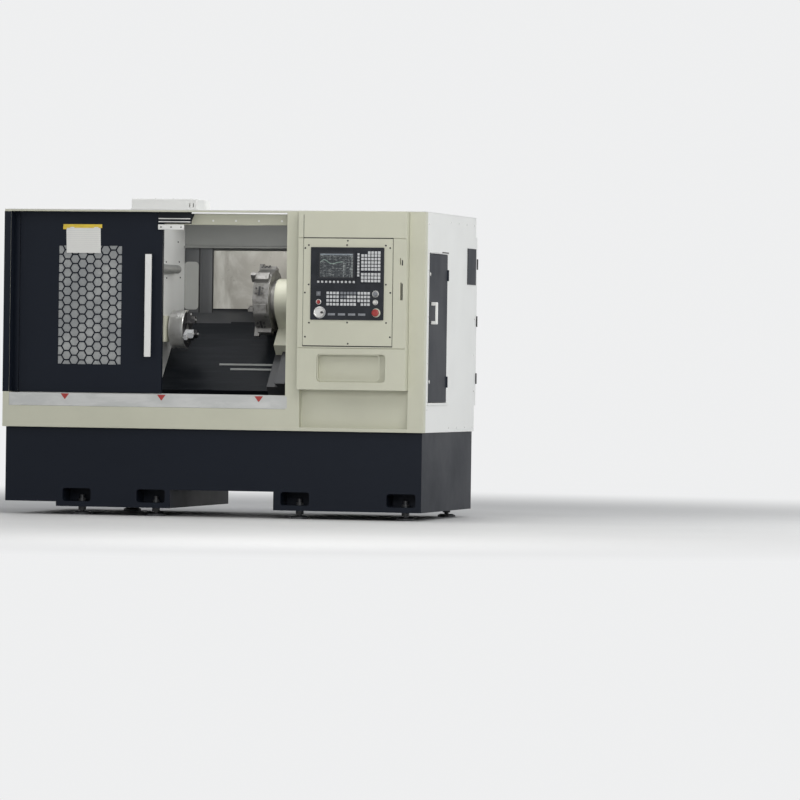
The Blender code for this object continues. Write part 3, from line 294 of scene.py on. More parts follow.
def film_strip(finish):
    """Pale protective film on the sill: soft creases, whose light and shade are painted as paler
    and darker bands, and grey scuffs.
    """
    fold_shading = finish.noise(5.0, 4.0, 0.6, (0.6, 1.0, 2.2), 1.1)
    crease = finish.noise(16.0, 4.0, 0.6, (0.5, 1.0, 1.6), 0.8)
    scuff = finish.noise(30.0, 5.0, 0.7, (0.25, 1.0, 1.0))
    # painted light and shade: paler and darker bands stand for the light on the film's soft folds
    base = finish.mix(fold_shading.ramp(0.40, 0.66), (0.50, 0.51, 0.50), (0.585, 0.59, 0.58))
    base = finish.mix(scuff.ramp(0.60, 0.80) * 0.40, base, (0.36, 0.37, 0.37))
    rough = crease.ramp(0.3, 0.7, 0.34, 0.50)
    return finish.done(Base_Color=base, Roughness=rough, Normal=finish.bump(crease, 0.0010, 0.4))


def black_panel(finish):
    """Black powder coat with a fine texture."""
    finish.feed(finish.shader.inputs["Specular IOR Level"], 0.25)
    grain = finish.noise(900.0, 2.0, 0.6)
    cloud = finish.noise(16.0, 4.0, 0.6)
    base = finish.mix(cloud.ramp(0.4, 0.75), (0.009, 0.011, 0.015), (0.017, 0.019, 0.025))
    rough = cloud.ramp(0.3, 0.8, 0.36, 0.52)
    return finish.done(Base_Color=base, Roughness=rough, Normal=finish.bump(grain, 0.0002, 0.6))


def screen_glass(finish):
    """A lit display: a dark field with a plot grid, a curve and rows of short bars."""
    x, z = finish.axis("X"), finish.axis("Z")
    low, high = screen_area()
    wide, tall = high[0] - low[0], high[1] - low[1]
    across, up = (x - low[0]) * (1 / wide), (z - low[1]) * (1 / tall)

    def stripes(value, count, width):
        return finish.fraction(value * count) < width

    grid = stripes(across, 10.0, 0.035) + stripes(up, 8.0, 0.045)
    swing = finish.node("ShaderNodeMath", {"operation": "SINE"}, {0: across * 12.0})
    swing = swing * across.ramp(0.05, 0.6, 0.12, 0.02) + 0.62
    curve = finish.node("ShaderNodeMath", {"operation": "ABSOLUTE"}, {0: up - swing})
    rows = stripes(up, 16.0, 0.45) * (across > 0.70)
    words = finish.noise(150.0, 1.0, 0.5, (1.0, 1.0, 0.05)) > 0.52
    field = finish.mix(grid.ramp(0.0, 1.0) * 0.22, (0.010, 0.014, 0.018), (0.30, 0.36, 0.36))
    field = finish.mix(rows * words * 0.55, field, (0.48, 0.52, 0.50))
    field = finish.mix((curve < 0.014) * (across < 0.68), field, (0.16, 0.22, 0.19))
    # painted reflection: pale slanted streaks mixed into the display's colour, and so into its glow
    slanted = finish.stretched((1.0, 1.0, 4.0), (0, 0.75, 0))
    sockets = {"Vector": slanted, "Scale": 70.0, "Detail": 3.0}
    painted_glint = finish.node("ShaderNodeTexNoise", {}, sockets)
    field = finish.mix(painted_glint.ramp(0.54, 0.66) * 0.45, field, (0.34, 0.36, 0.35))
    field = finish.mix((up > 0.93) * 0.5, field, (0.26, 0.30, 0.34))
    return finish.done(
        Base_Color=field, Roughness=0.10, Emission_Color=field, Emission_Strength=0.28,
        Coat_Weight=0.3,
    )


def pane_grey(finish):
    """The window's pane behind the grille: grey, hazy and dusty."""
    dust = finish.noise(7.0, 5.0, 0.65)
    speck = finish.noise(90.0, 3.0, 0.6).ramp(0.60, 0.72)
    base = finish.mix(dust.ramp(0.35, 0.72), (0.24, 0.25, 0.255), (0.36, 0.37, 0.365))
    base = finish.mix(speck * 0.30, base, (0.55, 0.55, 0.53))
    return finish.done(Base_Color=base, Roughness=dust.ramp(0.3, 0.8, 0.30, 0.46))


def plastic(finish, colour, rough, grain=0.00008):
    """Moulded plastic or rubber, a little uneven in tone."""
    cloud = finish.noise(60.0, 3.0, 0.6)
    dark = tuple(c * 0.72 for c in colour)
    base = finish.mix(cloud.ramp(0.40, 0.80) * 0.6, colour, dark)
    rough = cloud.ramp(0.3, 0.8, rough, rough + 0.1)
    bump = finish.bump(finish.noise(1400.0, 1.0, 0.5), grain, 0.5)
    return finish.done(Base_Color=base, Roughness=rough, Normal=bump)


def blank_paper(finish):
    """Plain paper with faint grey rules."""
    rules = finish.fraction(finish.axis("Z") * 95.0) < 0.16
    fibre = finish.noise(300.0, 3.0, 0.6)
    base = finish.mix(rules * 0.35, (0.74, 0.74, 0.71), (0.42, 0.43, 0.45))
    return finish.done(Base_Color=base, Roughness=0.75, Normal=finish.bump(fibre, 0.0001, 0.4))


def shadow_gap(finish):
    """The dark of a seam or a slot."""
    dust = finish.noise(40.0, 3.0, 0.6)
    base = finish.mix(dust, (0.006, 0.006, 0.007), (0.014, 0.014, 0.015))
    return finish.done(Base_Color=base, Roughness=0.85)


SHEET_PAINTS = {  # colour, roughness, grime
    "grey_sheet": ((0.30, 0.31, 0.30), 0.45, 0.18),
    "shaded_header_paint": ((0.25, 0.255, 0.245), 0.40, 0.16),  # a pale lining, given a darker grey as painted shade under the roof
    "leaf_grey": ((0.36, 0.365, 0.35), 0.42, 0.18),
    "leaf_dark": ((0.085, 0.088, 0.092), 0.40, 0.16),
}
PLASTICS = {  # colour, roughness, depth of the grain
    "key_plastic": ((0.56, 0.57, 0.58), 0.40),
    "dark_key_plastic": ((0.20, 0.21, 0.23), 0.42),
    "red_plastic": ((0.30, 0.022, 0.018), 0.34),
    "red_ink": ((0.36, 0.035, 0.030), 0.35),
    "black_rubber": ((0.018, 0.018, 0.019), 0.62, 0.0003),
    "yellow_tape": ((0.72, 0.52, 0.05), 0.45),
}
MAKERS = {
    maker.__name__: maker
    for maker in (
        cream_paint, white_paint, navy_paint, shaded_dark_sheet, brushed_stainless, bright_steel,
        dark_steel, turret_steel, cast_iron, film_strip, black_panel, screen_glass, pane_grey,
        blank_paper, shadow_gap,
    )
}
FINISHES = {}  # those made so far


def finish_of(name):
    """The named finish, made the first time it is asked for."""
    if name not in FINISHES:
        if name in SHEET_PAINTS:
            FINISHES[name] = sheet_paint(Finish(name), *SHEET_PAINTS[name])
        elif name in PLASTICS:
            FINISHES[name] = plastic(Finish(name), *PLASTICS[name])
        else:
            FINISHES[name] = MAKERS[name](Finish(name))
    return FINISHES[name]


NODE_FINISHES = {
    "cream_paint": (
        "front_frame", "top_rail", "control_housing", "control_plate", "nose_cover", "tailstock",
        "cross_slide",
    ),
    "white_paint": (
        "left_side_panel", "right_side_panel", "rear_panel", "roof", "top_hood", "cabinet",
        "cabinet_door", "inner_left_wall", "service_handle", "door_handle",
    ),
    "navy_paint": ("base", "door", "service_door"),
    "grey_sheet": ("front_left_panel", "inner_right_wall", "inner_rear_wall"),
    "shaded_dark_sheet": ("chip_pan", "way_cover_fixed", "way_cover_moving"),
    "brushed_stainless": ("saddle_cover",),
    "bright_steel": (
        "z_rail_1", "z_rail_2", "z_screw", "spindle", "chuck", "motor_pulley", "quill",
        "live_centre", "handwheel", "key_switch",
    ),
    "turret_steel": ("turret_disc",),
    "cast_iron": (
        "bed", "headstock", "spindle_motor", "saddle", "levelling_foot_1", "levelling_foot_2",
        "levelling_foot_3", "levelling_foot_5", "levelling_foot_7", "levelling_foot_8",
    ),
    "film_strip": ("sill",),
    "black_panel": ("operator_panel", "keypad", "screen"),
    "pane_grey": ("door_pane",),
    "black_rubber": ("drive_belt", "override_knob"),
    "red_plastic": ("emergency_stop", "power_button"),
    # painted light: the three jaws are alike, and jaw_2, which faces the front, is given the pale
    # key plastic as a painted highlight
    "dark_steel": ("jaw_1", "jaw_3"),
    "key_plastic": ("jaw_2",),
}
FINISH_OF_NODE = {node: finish for finish, nodes in NODE_FINISHES.items() for node in nodes}
EDGE_ROUNDS = {  # the nodes that get a rounded skin; the others only get a finish
    "front_frame": 0.0016, "control_housing": 0.0030, "control_plate": 0.0010, "base": 0.0040,
    "door": 0.0012, "sill": 0.0012, "door_handle": 0.0022, "left_side_panel": 0.002,
    "right_side_panel": 0.0015, "service_door": 0.0012, "cabinet": 0.002, "roof": 0.0008,
    "rear_panel": 0.002, "saddle": 0.002, "cross_slide": 0.003, "tailstock": 0.003,
    "turret_disc": 0.0005, "headstock": 0.004, "spindle_motor": 0.003, "bed": 0.003,
    "operator_panel": 0.0006, "screen": 0.0008, "jaw_1": 0.0012, "jaw_2": 0.0012, "jaw_3": 0.0012,
    "chip_pan": 0.0006, "inner_left_wall": 0.0008,
}
BODY_OF = {
    node: body for body, nodes in frame["record"]["behaviour"]["bodies"].items() for node in nodes
}


# Making and placing pieces

def keep(item, body, finish):
    """A finished piece: at the origin, with its finish, riding on its body."""
    item.data.transform(item.matrix_world)
    item.matrix_world = Matrix.Identity(4)
    item.data.materials.clear()
    item.data.materials.append(finish_of(finish))
    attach(item, body)
    return item


def placed(name, data):
    """A new object of some data, in the scene."""
    item = bpy.data.objects.new(name, data)
    bpy.context.scene.collection.objects.link(item)
    return item


def shaped(name, bm, smooth=35.0):
    """A new object of a finished bmesh, smooth up to an angle in degrees."""
    mesh = bpy.data.meshes.new(name)
    bm.normal_update()
    bm.to_mesh(mesh)
    bm.free()
    mesh.shade_smooth()
    mesh.set_sharp_from_angle(angle=radians(smooth))
    return placed(name, mesh)


def piece(name, bm, body, finish, smooth=35.0):
    """A finished piece of a bmesh, riding on its body."""
    return keep(shaped(name, bm, smooth), body, finish)


def evaluated(item):
    """Apply the item's modifiers to its mesh."""
    graph = bpy.context.evaluated_depsgraph_get()
    graph.update()
    mesh = bpy.data.meshes.new_from_object(item.evaluated_get(graph))
    item.modifiers.clear()
    item.data = mesh


def dress(node, width):
    """A copy of a CAD node with merged faces and softly rounded edges, in its place."""
    source = frame["nodes"][node]
    bm = bmesh.new()
    bm.from_mesh(source.data)
    bmesh.ops.remove_doubles(bm, verts=bm.verts, dist=MERGE)
    inner = [edge for edge in bm.edges if len(edge.link_faces) == 2]
    flat = [edge for edge in inner if edge.calc_face_angle(1.0) < radians(0.6)]
    bmesh.ops.dissolve_edges(bm, edges=flat, use_verts=True)
    mesh = bpy.data.meshes.new(node + "_skin")
    bm.to_mesh(mesh)
    bm.free()
    mesh.shade_smooth()
    item = placed(node + "_skin", mesh)
    rounding = item.modifiers.new("edges", "BEVEL")
    rounding.width = width
    rounding.segments = 2
    rounding.limit_method = "ANGLE"
    rounding.angle_limit = radians(32)
    even = item.modifiers.new("normals", "WEIGHTED_NORMAL")  # flat faces stay evenly lit
    even.weight = 100
    evaluated(item)
    keep(item, BODY_OF[node], FINISH_OF_NODE[node])
    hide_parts(node)
    return item


class LatheLooks(bpy.types.PropertyGroup):
    cream: FloatVectorProperty(
        name="Cream paint", description="Colour of the front sheet metal", subtype="COLOR",
        size=3, min=0.0, max=1.0, default=(0.545, 0.545, 0.440),
    )
    white: FloatVectorProperty(
        name="White paint", description="Colour of the side and roof panels", subtype="COLOR",
        size=3, min=0.0, max=1.0, default=(0.760, 0.765, 0.745),
    )
    navy: FloatVectorProperty(
        name="Navy paint", description="Colour of the base and the doors", subtype="COLOR",
        size=3, min=0.0, max=1.0, default=(0.0070, 0.0098, 0.0165),
    )
    screw_size: FloatProperty(
        name="Screw head", description="Width of the sheet-metal screw heads", subtype="DISTANCE",
        unit="LENGTH", default=0.0090, min=0.004, max=0.02,
    )
    mark_width: FloatProperty(
        name="Red mark width", description="Width of each red mark on the sill", subtype="DISTANCE",
        unit="LENGTH", default=0.048, min=0.01, max=0.1,
    )
    mark_pitch: FloatProperty(
        name="Red mark spacing", description="From one red mark to the next", subtype="DISTANCE",
        unit="LENGTH", default=0.547, min=0.1, max=1.0,
    )


class LatheStage(bpy.types.PropertyGroup):
    distance: FloatProperty(
        name="Camera distance", description="From the machine's middle to the camera",
        subtype="DISTANCE", unit="LENGTH", default=30.0, min=4.0, max=60.0,
    )
    bearing: FloatProperty(
        name="Camera bearing", description="How far right of the front the camera stands",
        subtype="ANGLE", unit="ROTATION", default=radians(15.41),
    )
    height: FloatProperty(
        name="Camera height", description="Above the floor", subtype="DISTANCE", unit="LENGTH",
        default=0.819,
    )
    yaw: FloatProperty(
        name="Camera yaw", description="Turned to the left of straight ahead", subtype="ANGLE",
        unit="ROTATION", default=radians(13.793),
    )
    dip: FloatProperty(
        name="Camera dip", description="Turned down from level", subtype="ANGLE", unit="ROTATION",
        default=radians(0.313),
    )
    roll: FloatProperty(
        name="Camera roll", description="Turned about the line of sight", subtype="ANGLE",
        unit="ROTATION", default=radians(0.794),
    )
    lens: FloatProperty(
        name="Lens", description="Focal length in millimetres on a 36 mm sensor", default=244.14,
        min=20.0, max=300.0,
    )


def chosen_looks():
    """The colours and sizes that the panel offers."""
    return bpy.context.scene.lathe_looks


def screen_area():
    """X and Z of the lit face inside the screen's frame."""
    low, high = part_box("screen")
    rim = Vector((0.014, 0, 0.014))
    return tuple((corner.x, corner.z) for corner in (low + rim, high - rim))


def bar(bm, low, high, bevel=0.0):
    """A block between two corners, its edges rounded."""
    made = bmesh.ops.create_cube(bm, size=1)["verts"]
    size = [b - a for a, b in zip(low, high)]
    bmesh.ops.scale(bm, vec=size, verts=made)
    bmesh.ops.translate(bm, vec=[(a + b) / 2 for a, b in zip(low, high)], verts=made)
    if bevel:
        edges = list({e for v in made for e in v.link_edges})
        bmesh.ops.bevel(bm, geom=edges, offset=bevel, segments=2, affect="EDGES", profile=0.5)


TOWARDS = {  # turns Z towards an axis
    "Z": Matrix.Identity(4),
    "X": Matrix.Rotation(pi / 2, 4, "Y"),
    "-X": Matrix.Rotation(-pi / 2, 4, "Y"),
    "Y": Matrix.Rotation(-pi / 2, 4, "X"),
    "-Y": Matrix.Rotation(pi / 2, 4, "X"),
}


def lathe(bm, profile, place, axis="-Y", steps=24):
    """A turned shape: (radius, height) points from its top down, drawn round an axis."""
    rings = []
    for radius, height in profile:
        if not radius:
            rings.append([bm.verts.new((0, 0, height))])
            continue
        loop = []
        for n in range(steps):
            angle = 2 * pi * n / steps
            loop.append(bm.verts.new((radius * cos(angle), radius * sin(angle), height)))
        rings.append(loop)
    for upper, lower in zip(rings, rings[1:]):
        for n in range(steps):
            m = (n + 1) % steps
            corners = [upper[n % len(upper)], lower[n % len(lower)]]
            corners += [lower[m % len(lower)], upper[m % len(upper)]]
            unique = list(dict.fromkeys(corners))
            if len(unique) > 2:
                bm.faces.new(unique)
    if len(rings[-1]) > 1:
        bm.faces.new(list(reversed(rings[-1])))
    if len(rings[0]) > 1:
        bm.faces.new(rings[0])
    verts = [v for loop in rings for v in loop]
    bmesh.ops.transform(bm, matrix=Matrix.Translation(place) @ TOWARDS[axis], verts=verts)
    return verts


def scatter_tree(name):
    """Geometry nodes: one copy of a pattern piece on each point, turned by its normal."""
    tree = bpy.data.node_groups.new(name, "GeometryNodeTree")
    kinds = {
        "Places": "Geometry", "Pattern": "Object", "Size": "Float", "Spin": "Float",
        "Finish": "Material",
    }
    for title, kind in kinds.items():
        tree.interface.new_socket(title, in_out="INPUT", socket_type="NodeSocket" + kind)
    tree.interface.new_socket("Copies", in_out="OUTPUT", socket_type="NodeSocketGeometry")
    nodes = tree.nodes
    given = nodes.new("NodeGroupInput")
    result = nodes.new("NodeGroupOutput")
    info = nodes.new("GeometryNodeObjectInfo")
    normal = nodes.new("GeometryNodeInputNamedAttribute")
    normal.data_type = "FLOAT_VECTOR"
    normal.inputs["Name"].default_value = "facing"
    align = nodes.new("FunctionNodeAlignRotationToVector")
    align.axis = "Z"
    spin = nodes.new("FunctionNodeRandomValue")
    spin.data_type = "FLOAT"
    spin.inputs["Seed"].default_value = 7
    local = nodes.new("FunctionNodeRotateRotation")
    local.rotation_space = "LOCAL"
    about = nodes.new("ShaderNodeCombineXYZ")
    place = nodes.new("GeometryNodeInstanceOnPoints")
    real = nodes.new("GeometryNodeRealizeInstances")
    paint = nodes.new("GeometryNodeSetMaterial")
    for source, target in (
        (given.outputs["Pattern"], info.inputs["Object"]),
        (normal.outputs[0], align.inputs["Vector"]),
        (given.outputs["Spin"], spin.inputs[3]),
        (spin.outputs[1], about.inputs["Z"]),
        (align.outputs[0], local.inputs[0]),
        (about.outputs[0], local.inputs[1]),
        (given.outputs["Places"], place.inputs["Points"]),
        (info.outputs["Geometry"], place.inputs["Instance"]),
        (local.outputs[0], place.inputs["Rotation"]),
        (given.outputs["Size"], place.inputs["Scale"]),
        (place.outputs[0], real.inputs[0]),
        (real.outputs[0], paint.inputs["Geometry"]),
        (given.outputs["Finish"], paint.inputs["Material"]),
        (paint.outputs[0], result.inputs[0]),
    ):
        tree.links.new(source, target)
    return tree


ANY_TURN = 6.28  # how far a copy may be turned at random


def scatter(name, spots, pattern, size, body, finish, spin=ANY_TURN):
    """Copies of a pattern of unit size at spots: (place, facing) pairs, as one piece."""
    tree = bpy.data.node_groups.get("repeat_on_points") or scatter_tree("repeat_on_points")
    mesh = bpy.data.meshes.new(name)
    mesh.from_pydata([place for place, _ in spots], [], [])
    facing = mesh.attributes.new("facing", "FLOAT_VECTOR", "POINT")
    for entry, (_, way) in zip(facing.data, spots):
        entry.vector = way
    item = placed(name, mesh)
    step = item.modifiers.new("copies", "NODES")
    step.node_group = tree
    names = {s.name: s.identifier for s in tree.interface.items_tree if s.in_out == "INPUT"}
    step[names["Pattern"]] = pattern
    step[names["Size"]] = size
    step[names["Spin"]] = spin
    step[names["Finish"]] = finish_of(finish)
    evaluated(item)
    item.data.materials.clear()
    return keep(item, body, finish)


def pattern_of(name, build):
    """A pattern piece of unit size, hidden from the render, that scatter copies."""
    if name in bpy.data.objects:
        return bpy.data.objects[name]
    bm = bmesh.new()
    build(bm)
    item = shaped(name, bm)
    item.hide_render = True
    return item


def socket_head(bm):
    """A cap screw head one unit wide, with its socket sunk in it."""
    profile = [(0.0, 0.10), (0.27, 0.12), (0.27, 0.42), (0.44, 0.42), (0.50, 0.36), (0.50, 0.0)]
    lathe(bm, profile, (0, 0, 0), "Z", 12)


def pan_head(bm):
    """A low domed screw head one unit wide, dished in its middle."""
    profile = [(0.0, 0.20), (0.10, 0.24), (0.16, 0.30), (0.30, 0.26), (0.44, 0.15), (0.50, 0.0)]
    lathe(bm, profile, (0, 0, 0), "Z", 14)


class Piece:
    """What every piece's operator shares."""
    bl_options = {"REGISTER", "UNDO"}


class LATHE_OT_stage(Piece, bpy.types.Operator):
    """Set the camera, the soft studio light, the pale floor and the background"""
    bl_idname = "lathe.stage"
    bl_label = "Stage and camera"

    BACKDROP = (0.86, 0.865, 0.87)
    LAMPS = (  # name, place, aim, width, height, watts, colour
        ("key", (3.6, -4.2, 4.4), (0.1, 0.0, 0.8), 3.2, 3.2, 108.0, (1.0, 0.985, 0.96)),
        ("right_window", (5.2, 0.4, 2.2), (0.9, 0.0, 0.9), 3.0, 2.4, 72.0, (0.97, 0.99, 1.0)),
        ("left_fill", (-4.0, -3.4, 2.6), (0.0, 0.0, 0.8), 3.0, 2.0, 25.0, (1.0, 0.99, 0.97)),
        ("overhead", (0.0, -0.7, 4.2), (0.0, -0.25, 0.9), 2.0, 1.2, 34.0, (1.0, 1.0, 1.0)),
        ("work_lamp", (0.30, -0.42, 1.50), (-0.42, -0.15, 1.25), 0.25, 0.15, 1.5, (1.0, 1.0, 1.0)),
        ("front_fill", (1.7, -5.6, 1.7), (-0.3, -0.3, 1.1), 1.8, 1.2, 64.0, (1.0, 0.995, 0.98)),
    )
    FLOOR_RADIUS = 90.0

    def execute(self, context):
        self.camera(context.scene)
        for lamp in self.LAMPS:
            self.lamp(*lamp)
        self.floor()
        self.background(context.scene)
        return {"FINISHED"}

    def camera(self, scene):
        stage = scene.lathe_stage
        view = bpy.data.cameras.new("camera")
        view.lens = stage.lens
        view.sensor_width = 36.0
        view.shift_y = -0.002
        view.clip_end = 200.0
        camera = placed("camera", view)
        side, back = sin(stage.bearing), cos(stage.bearing)
        place = Matrix.Translation((stage.distance * side, -stage.distance * back, stage.height))
        turn = Matrix.Rotation(stage.yaw, 4, "Z") @ Matrix.Rotation(radians(90) - stage.dip, 4, "X")
        camera.matrix_world = place @ turn @ Matrix.Rotation(stage.roll, 4, "Z")
        scene.camera = camera
        scene.view_settings.view_transform = "Standard"

    def lamp(self, name, place, aim, width, height, power, colour):
        light = bpy.data.lights.new(name, "AREA")
        light.shape = "RECTANGLE"
        light.size, light.size_y = width, height
        light.energy = power
        light.color = colour
        lamp = placed(name, light)
        lamp.visible_camera = False
        lamp.location = place
        lamp.rotation_euler = (Vector(aim) - Vector(place)).to_track_quat("-Z", "Y").to_euler()

    def floor(self):
        bm = bmesh.new()
        bmesh.ops.create_circle(bm, cap_ends=True, radius=self.FLOOR_RADIUS, segments=96)
        mesh = bpy.data.meshes.new("floor")
        bm.to_mesh(mesh)
        bm.free()
        floor = placed("floor", mesh)
        floor.data.materials.append(self.floor_material())

    def floor_material(self):
        """Pale floor that keeps the shadow near the machine and fades to the backdrop's colour."""
        floor = Finish("pale_floor")
        settings = {"operation": "LENGTH"}
        away = floor.node("ShaderNodeVectorMath", settings, {0: floor.place}, "Value")
        cloud = floor.noise(1.4, 4.0, 0.6).ramp(0.3, 0.7, 0.0, 1.0)
        colour = floor.mix(cloud * 0.5, (0.70, 0.70, 0.695), (0.66, 0.66, 0.655))
        floor.done(Base_Color=colour, Roughness=0.62)
        glow = floor.node("ShaderNodeEmission", {}, {"Color": self.BACKDROP})
        fade, lit = away.ramp(2.4, 7.0) * floor.seen(), Wire(floor, floor.shader.outputs[0])
        mix = floor.node("ShaderNodeMixShader", {}, {0: fade, 1: lit, 2: glow})
        floor.feed(floor.tree.nodes["Material Output"].inputs["Surface"], mix)
        return floor.material

    def background(self, scene):
        """Even fill for the light, with the backdrop's colour where it is seen or mirrored."""
        world = bpy.data.worlds.new("studio")
        world.use_nodes = True
        scene.world = world
        sky = Nodes(world.node_tree)
        fill = sky.tree.nodes["Background"]
        sky.feed(fill.inputs["Color"], (0.92, 0.95, 1.0))
        sky.feed(fill.inputs["Strength"], 0.28)
        shown = sky.node("ShaderNodeBackground", {}, {"Color": self.BACKDROP})
        sockets = {0: sky.seen(), 1: Wire(sky, fill.outputs[0]), 2: shown}
        mix = sky.node("ShaderNodeMixShader", {}, sockets)
        sky.feed(sky.tree.nodes["World Output"].inputs["Surface"], mix)


class LATHE_OT_panels(Piece, bpy.types.Operator):
    """Round the edges of the CAD nodes and give each its finish"""
    bl_idname = "lathe.panels"
    bl_label = "Panels and castings"

    CHUCK_ROUND = 0.0006
    FACE_DEPTH = 0.005  # how far behind the chuck's front its steps still count as its face

    def execute(self, context):
        for node, item in frame["nodes"].items():
            if node in EDGE_ROUNDS:
                dress(node, EDGE_ROUNDS[node])
            elif node != "chuck":
                for slot in item.material_slots:
                    slot.material = finish_of(FINISH_OF_NODE[node])
        self.darken_face(dress("chuck", self.CHUCK_ROUND))
        return {"FINISHED"}

    def darken_face(self, chuck):
        """The chuck's face is darker than its turned rim."""
        chuck.data.materials.append(finish_of("dark_steel"))
        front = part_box("chuck")[HIGH].x - self.FACE_DEPTH
        for face in chuck.data.polygons:
            if face.normal.x > 0.9 and face.center.x > front:
                face.material_index = 1


FORWARD = (0, -1, 0)
RIGHTWARD = (1, 0, 0)
LEFTWARD = (-1, 0, 0)
BACKWARD = (0, 1, 0)
UPWARD = (0, 0, 1)
SLOPE = cos(pi / 4)  # of the ways


def joint_place(name):
    joints = frame["record"]["behaviour"]["joints"]
    return next(joint["pos_m"] for joint in joints if joint["name"] == name)


def on_bed(x, along, off):
    """A place in the slanted frame of the ways, whose origin is on the spindle axis."""
    _, y, z = joint_place("spindle_spin")
    return Vector((x, y + (along - off) * SLOPE, z + (along + off) * SLOPE))


def round_x(angle):
    """The way out from an axis along X, at an angle from straight up."""
    return Vector((0, sin(angle), cos(angle)))


def round_y(angle, radius, rise=0.0):
    """A step from an axis along Y: out at an angle, and forward by a rise."""
    return Vector((radius * cos(angle), -rise, radius * sin(angle)))


def across_bed(bm, places, start, end):
    """A section of the bed's frame, as (along, off) places, drawn out along X."""
    corners = [on_bed(0, along, off) for along, off in places]
    prism(bm, [(corner.y, corner.z) for corner in corners], start, end, "X")


def ring(bm, profile, place, axis="-Y", steps=48):
    """A turned ring, its profile closed on itself and not on the axis."""
    verts = lathe(bm, profile + [profile[0]], place, axis, steps)
    bmesh.ops.remove_doubles(bm, verts=verts, dist=0.00001)
    caps = [face for face in bm.faces if len(face.verts) > 20]
    bmesh.ops.delete(bm, geom=caps, context="FACES_ONLY")


def block(bm, place, way, size, edge=0.0):
    """A block whose first side lies along X and whose third looks along a way out from X."""
    basis = Matrix((Vector(RIGHTWARD), way.cross(Vector(RIGHTWARD)), way)).transposed().to_4x4()
    turn = Matrix.Translation(place) @ basis @ Matrix.Diagonal((*size, 1))
    made = bmesh.ops.create_cube(bm, size=1)["verts"]
    bmesh.ops.transform(bm, matrix=turn, verts=made)
    if edge:
        edges = list({e for v in made for e in v.link_edges})
        bmesh.ops.bevel(bm, geom=edges, offset=edge, segments=1, affect="EDGES")


def prism(bm, outline, low, high, axis="Y"):
    """A flat outline drawn out along an axis: of X and Z along Y, of Y and Z along X."""
    spots = {"Y": lambda a, b, c: (a, c, b), "X": lambda a, b, c: (c, a, b)}[axis]
    near = [bm.verts.new(spots(a, b, low)) for a, b in outline]
    far = [bm.verts.new(spots(a, b, high)) for a, b in outline]
    faces = [bm.faces.new(near), bm.faces.new(list(reversed(far)))]
    for n in range(len(outline)):
        m = (n + 1) % len(outline)
        faces.append(bm.faces.new((near[m], near[n], far[n], far[m])))
    bmesh.ops.recalc_face_normals(bm, faces=faces)


def round_box(x, z, radius, steps=5):
    """A rectangle's outline with round corners."""
    left, right, bottom, top = x[0] + radius, x[1] - radius, z[0] + radius, z[1] - radius
    points = []
    for start, (cx, cz) in enumerate(((right, top), (left, top), (left, bottom), (right, bottom))):
        for n in range(steps + 1):
            turn = radians(90 * start + 90 * n / steps)
            points.append((cx + radius * cos(turn), cz + radius * sin(turn)))
    return points


def frame_bars(bm, x, z, wide, low, high, bevel):
    """Four bars round a rectangle of X and Z."""
    bar(bm, (x[0], low, z[0]), (x[1], high, z[0] + wide), bevel)
    bar(bm, (x[0], low, z[1] - wide), (x[1], high, z[1]), bevel)
    bar(bm, (x[0], low, z[0] + wide), (x[0] + wide, high, z[1] - wide), bevel)
    bar(bm, (x[1] - wide, low, z[0] + wide), (x[1], high, z[1] - wide), bevel)


def louvres(bm, face, rise, lift, tall, heights, spans, axis):
    """Pressed louvres: thin wedges from a face out by a rise, drawn out over each span."""
    for z in heights:
        lip = face + rise
        wedge = [(face, z), (lip, z + lift), (lip, z + lift + 0.0015), (face, z + tall)]
        for start, end in spans:
            prism(bm, wedge, start, end, axis)


def key_cap(bm):
    """A key one unit wide with a dished top."""
    rings = ((0.50, 0.0), (0.50, 0.16), (0.44, 0.26), (0.36, 0.27), (0.20, 0.245))
    loops = []
    for half, high in rings:
        outline = round_box((-half, half), (-half, half), half * 0.22, 2)
        loops.append([bm.verts.new((a, b, high)) for a, b in outline])
    for lower, upper in zip(loops, loops[1:]):
        for n in range(len(lower)):
            m = (n + 1) % len(lower)
            bm.faces.new((lower[n], lower[m], upper[m], upper[n]))
    bm.faces.new(loops[-1])
    bm.faces.new(list(reversed(loops[0])))


class LATHE_OT_sill(Piece, bpy.types.Operator):
    """Lay the pale film on the sill and stick its red marks on it"""
    bl_idname = "lathe.sill"
    bl_label = "Sill film and marks"

    FILM = (0.0009, 0.0003)  # its front and back, ahead of the front plane
    MARK = (0.0017, 0.0011)
    WAVES = 40  # steps of the film's uneven upper edge
    WAVE_HEIGHT = 0.0012
    FIRST_MARK = -0.844
    MARK_COUNT = 3
    MARK_TALL = 0.030
    MARK_TIP = 0.002  # half the width of its blunt tip

    def execute(self, context):
        looks = context.scene.lathe_looks
        low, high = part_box("sill")
        left, right, bottom, top = low.x + 0.001, high.x + 0.011, low.z + 0.004, high.z - 0.006
        step = (right - left) / self.WAVES
        outline = [(left, bottom), (right, bottom), (right, top)]
        for n in range(1, self.WAVES):
            outline.append((right - step * n, top + self.WAVE_HEIGHT * sin(1.7 * n)))
        outline.append((left, top))
        bm = bmesh.new()
        prism(bm, outline, *(FRONT - y for y in self.FILM))
        piece("sill_film", bm, "machine", "film_strip", 60)
        bm = bmesh.new()
        half = looks.mark_width / 2
        for n in range(self.MARK_COUNT):
            x, upper = self.FIRST_MARK + n * looks.mark_pitch, top - 0.0005
            lower = upper - self.MARK_TALL
            outline = [(x - half, upper), (x + half, upper)]
            outline += [(x + self.MARK_TIP, lower), (x - self.MARK_TIP, lower)]
            prism(bm, outline, *(FRONT - y for y in self.MARK))
        piece("red_marks", bm, "machine", "red_ink")
        return {"FINISHED"}


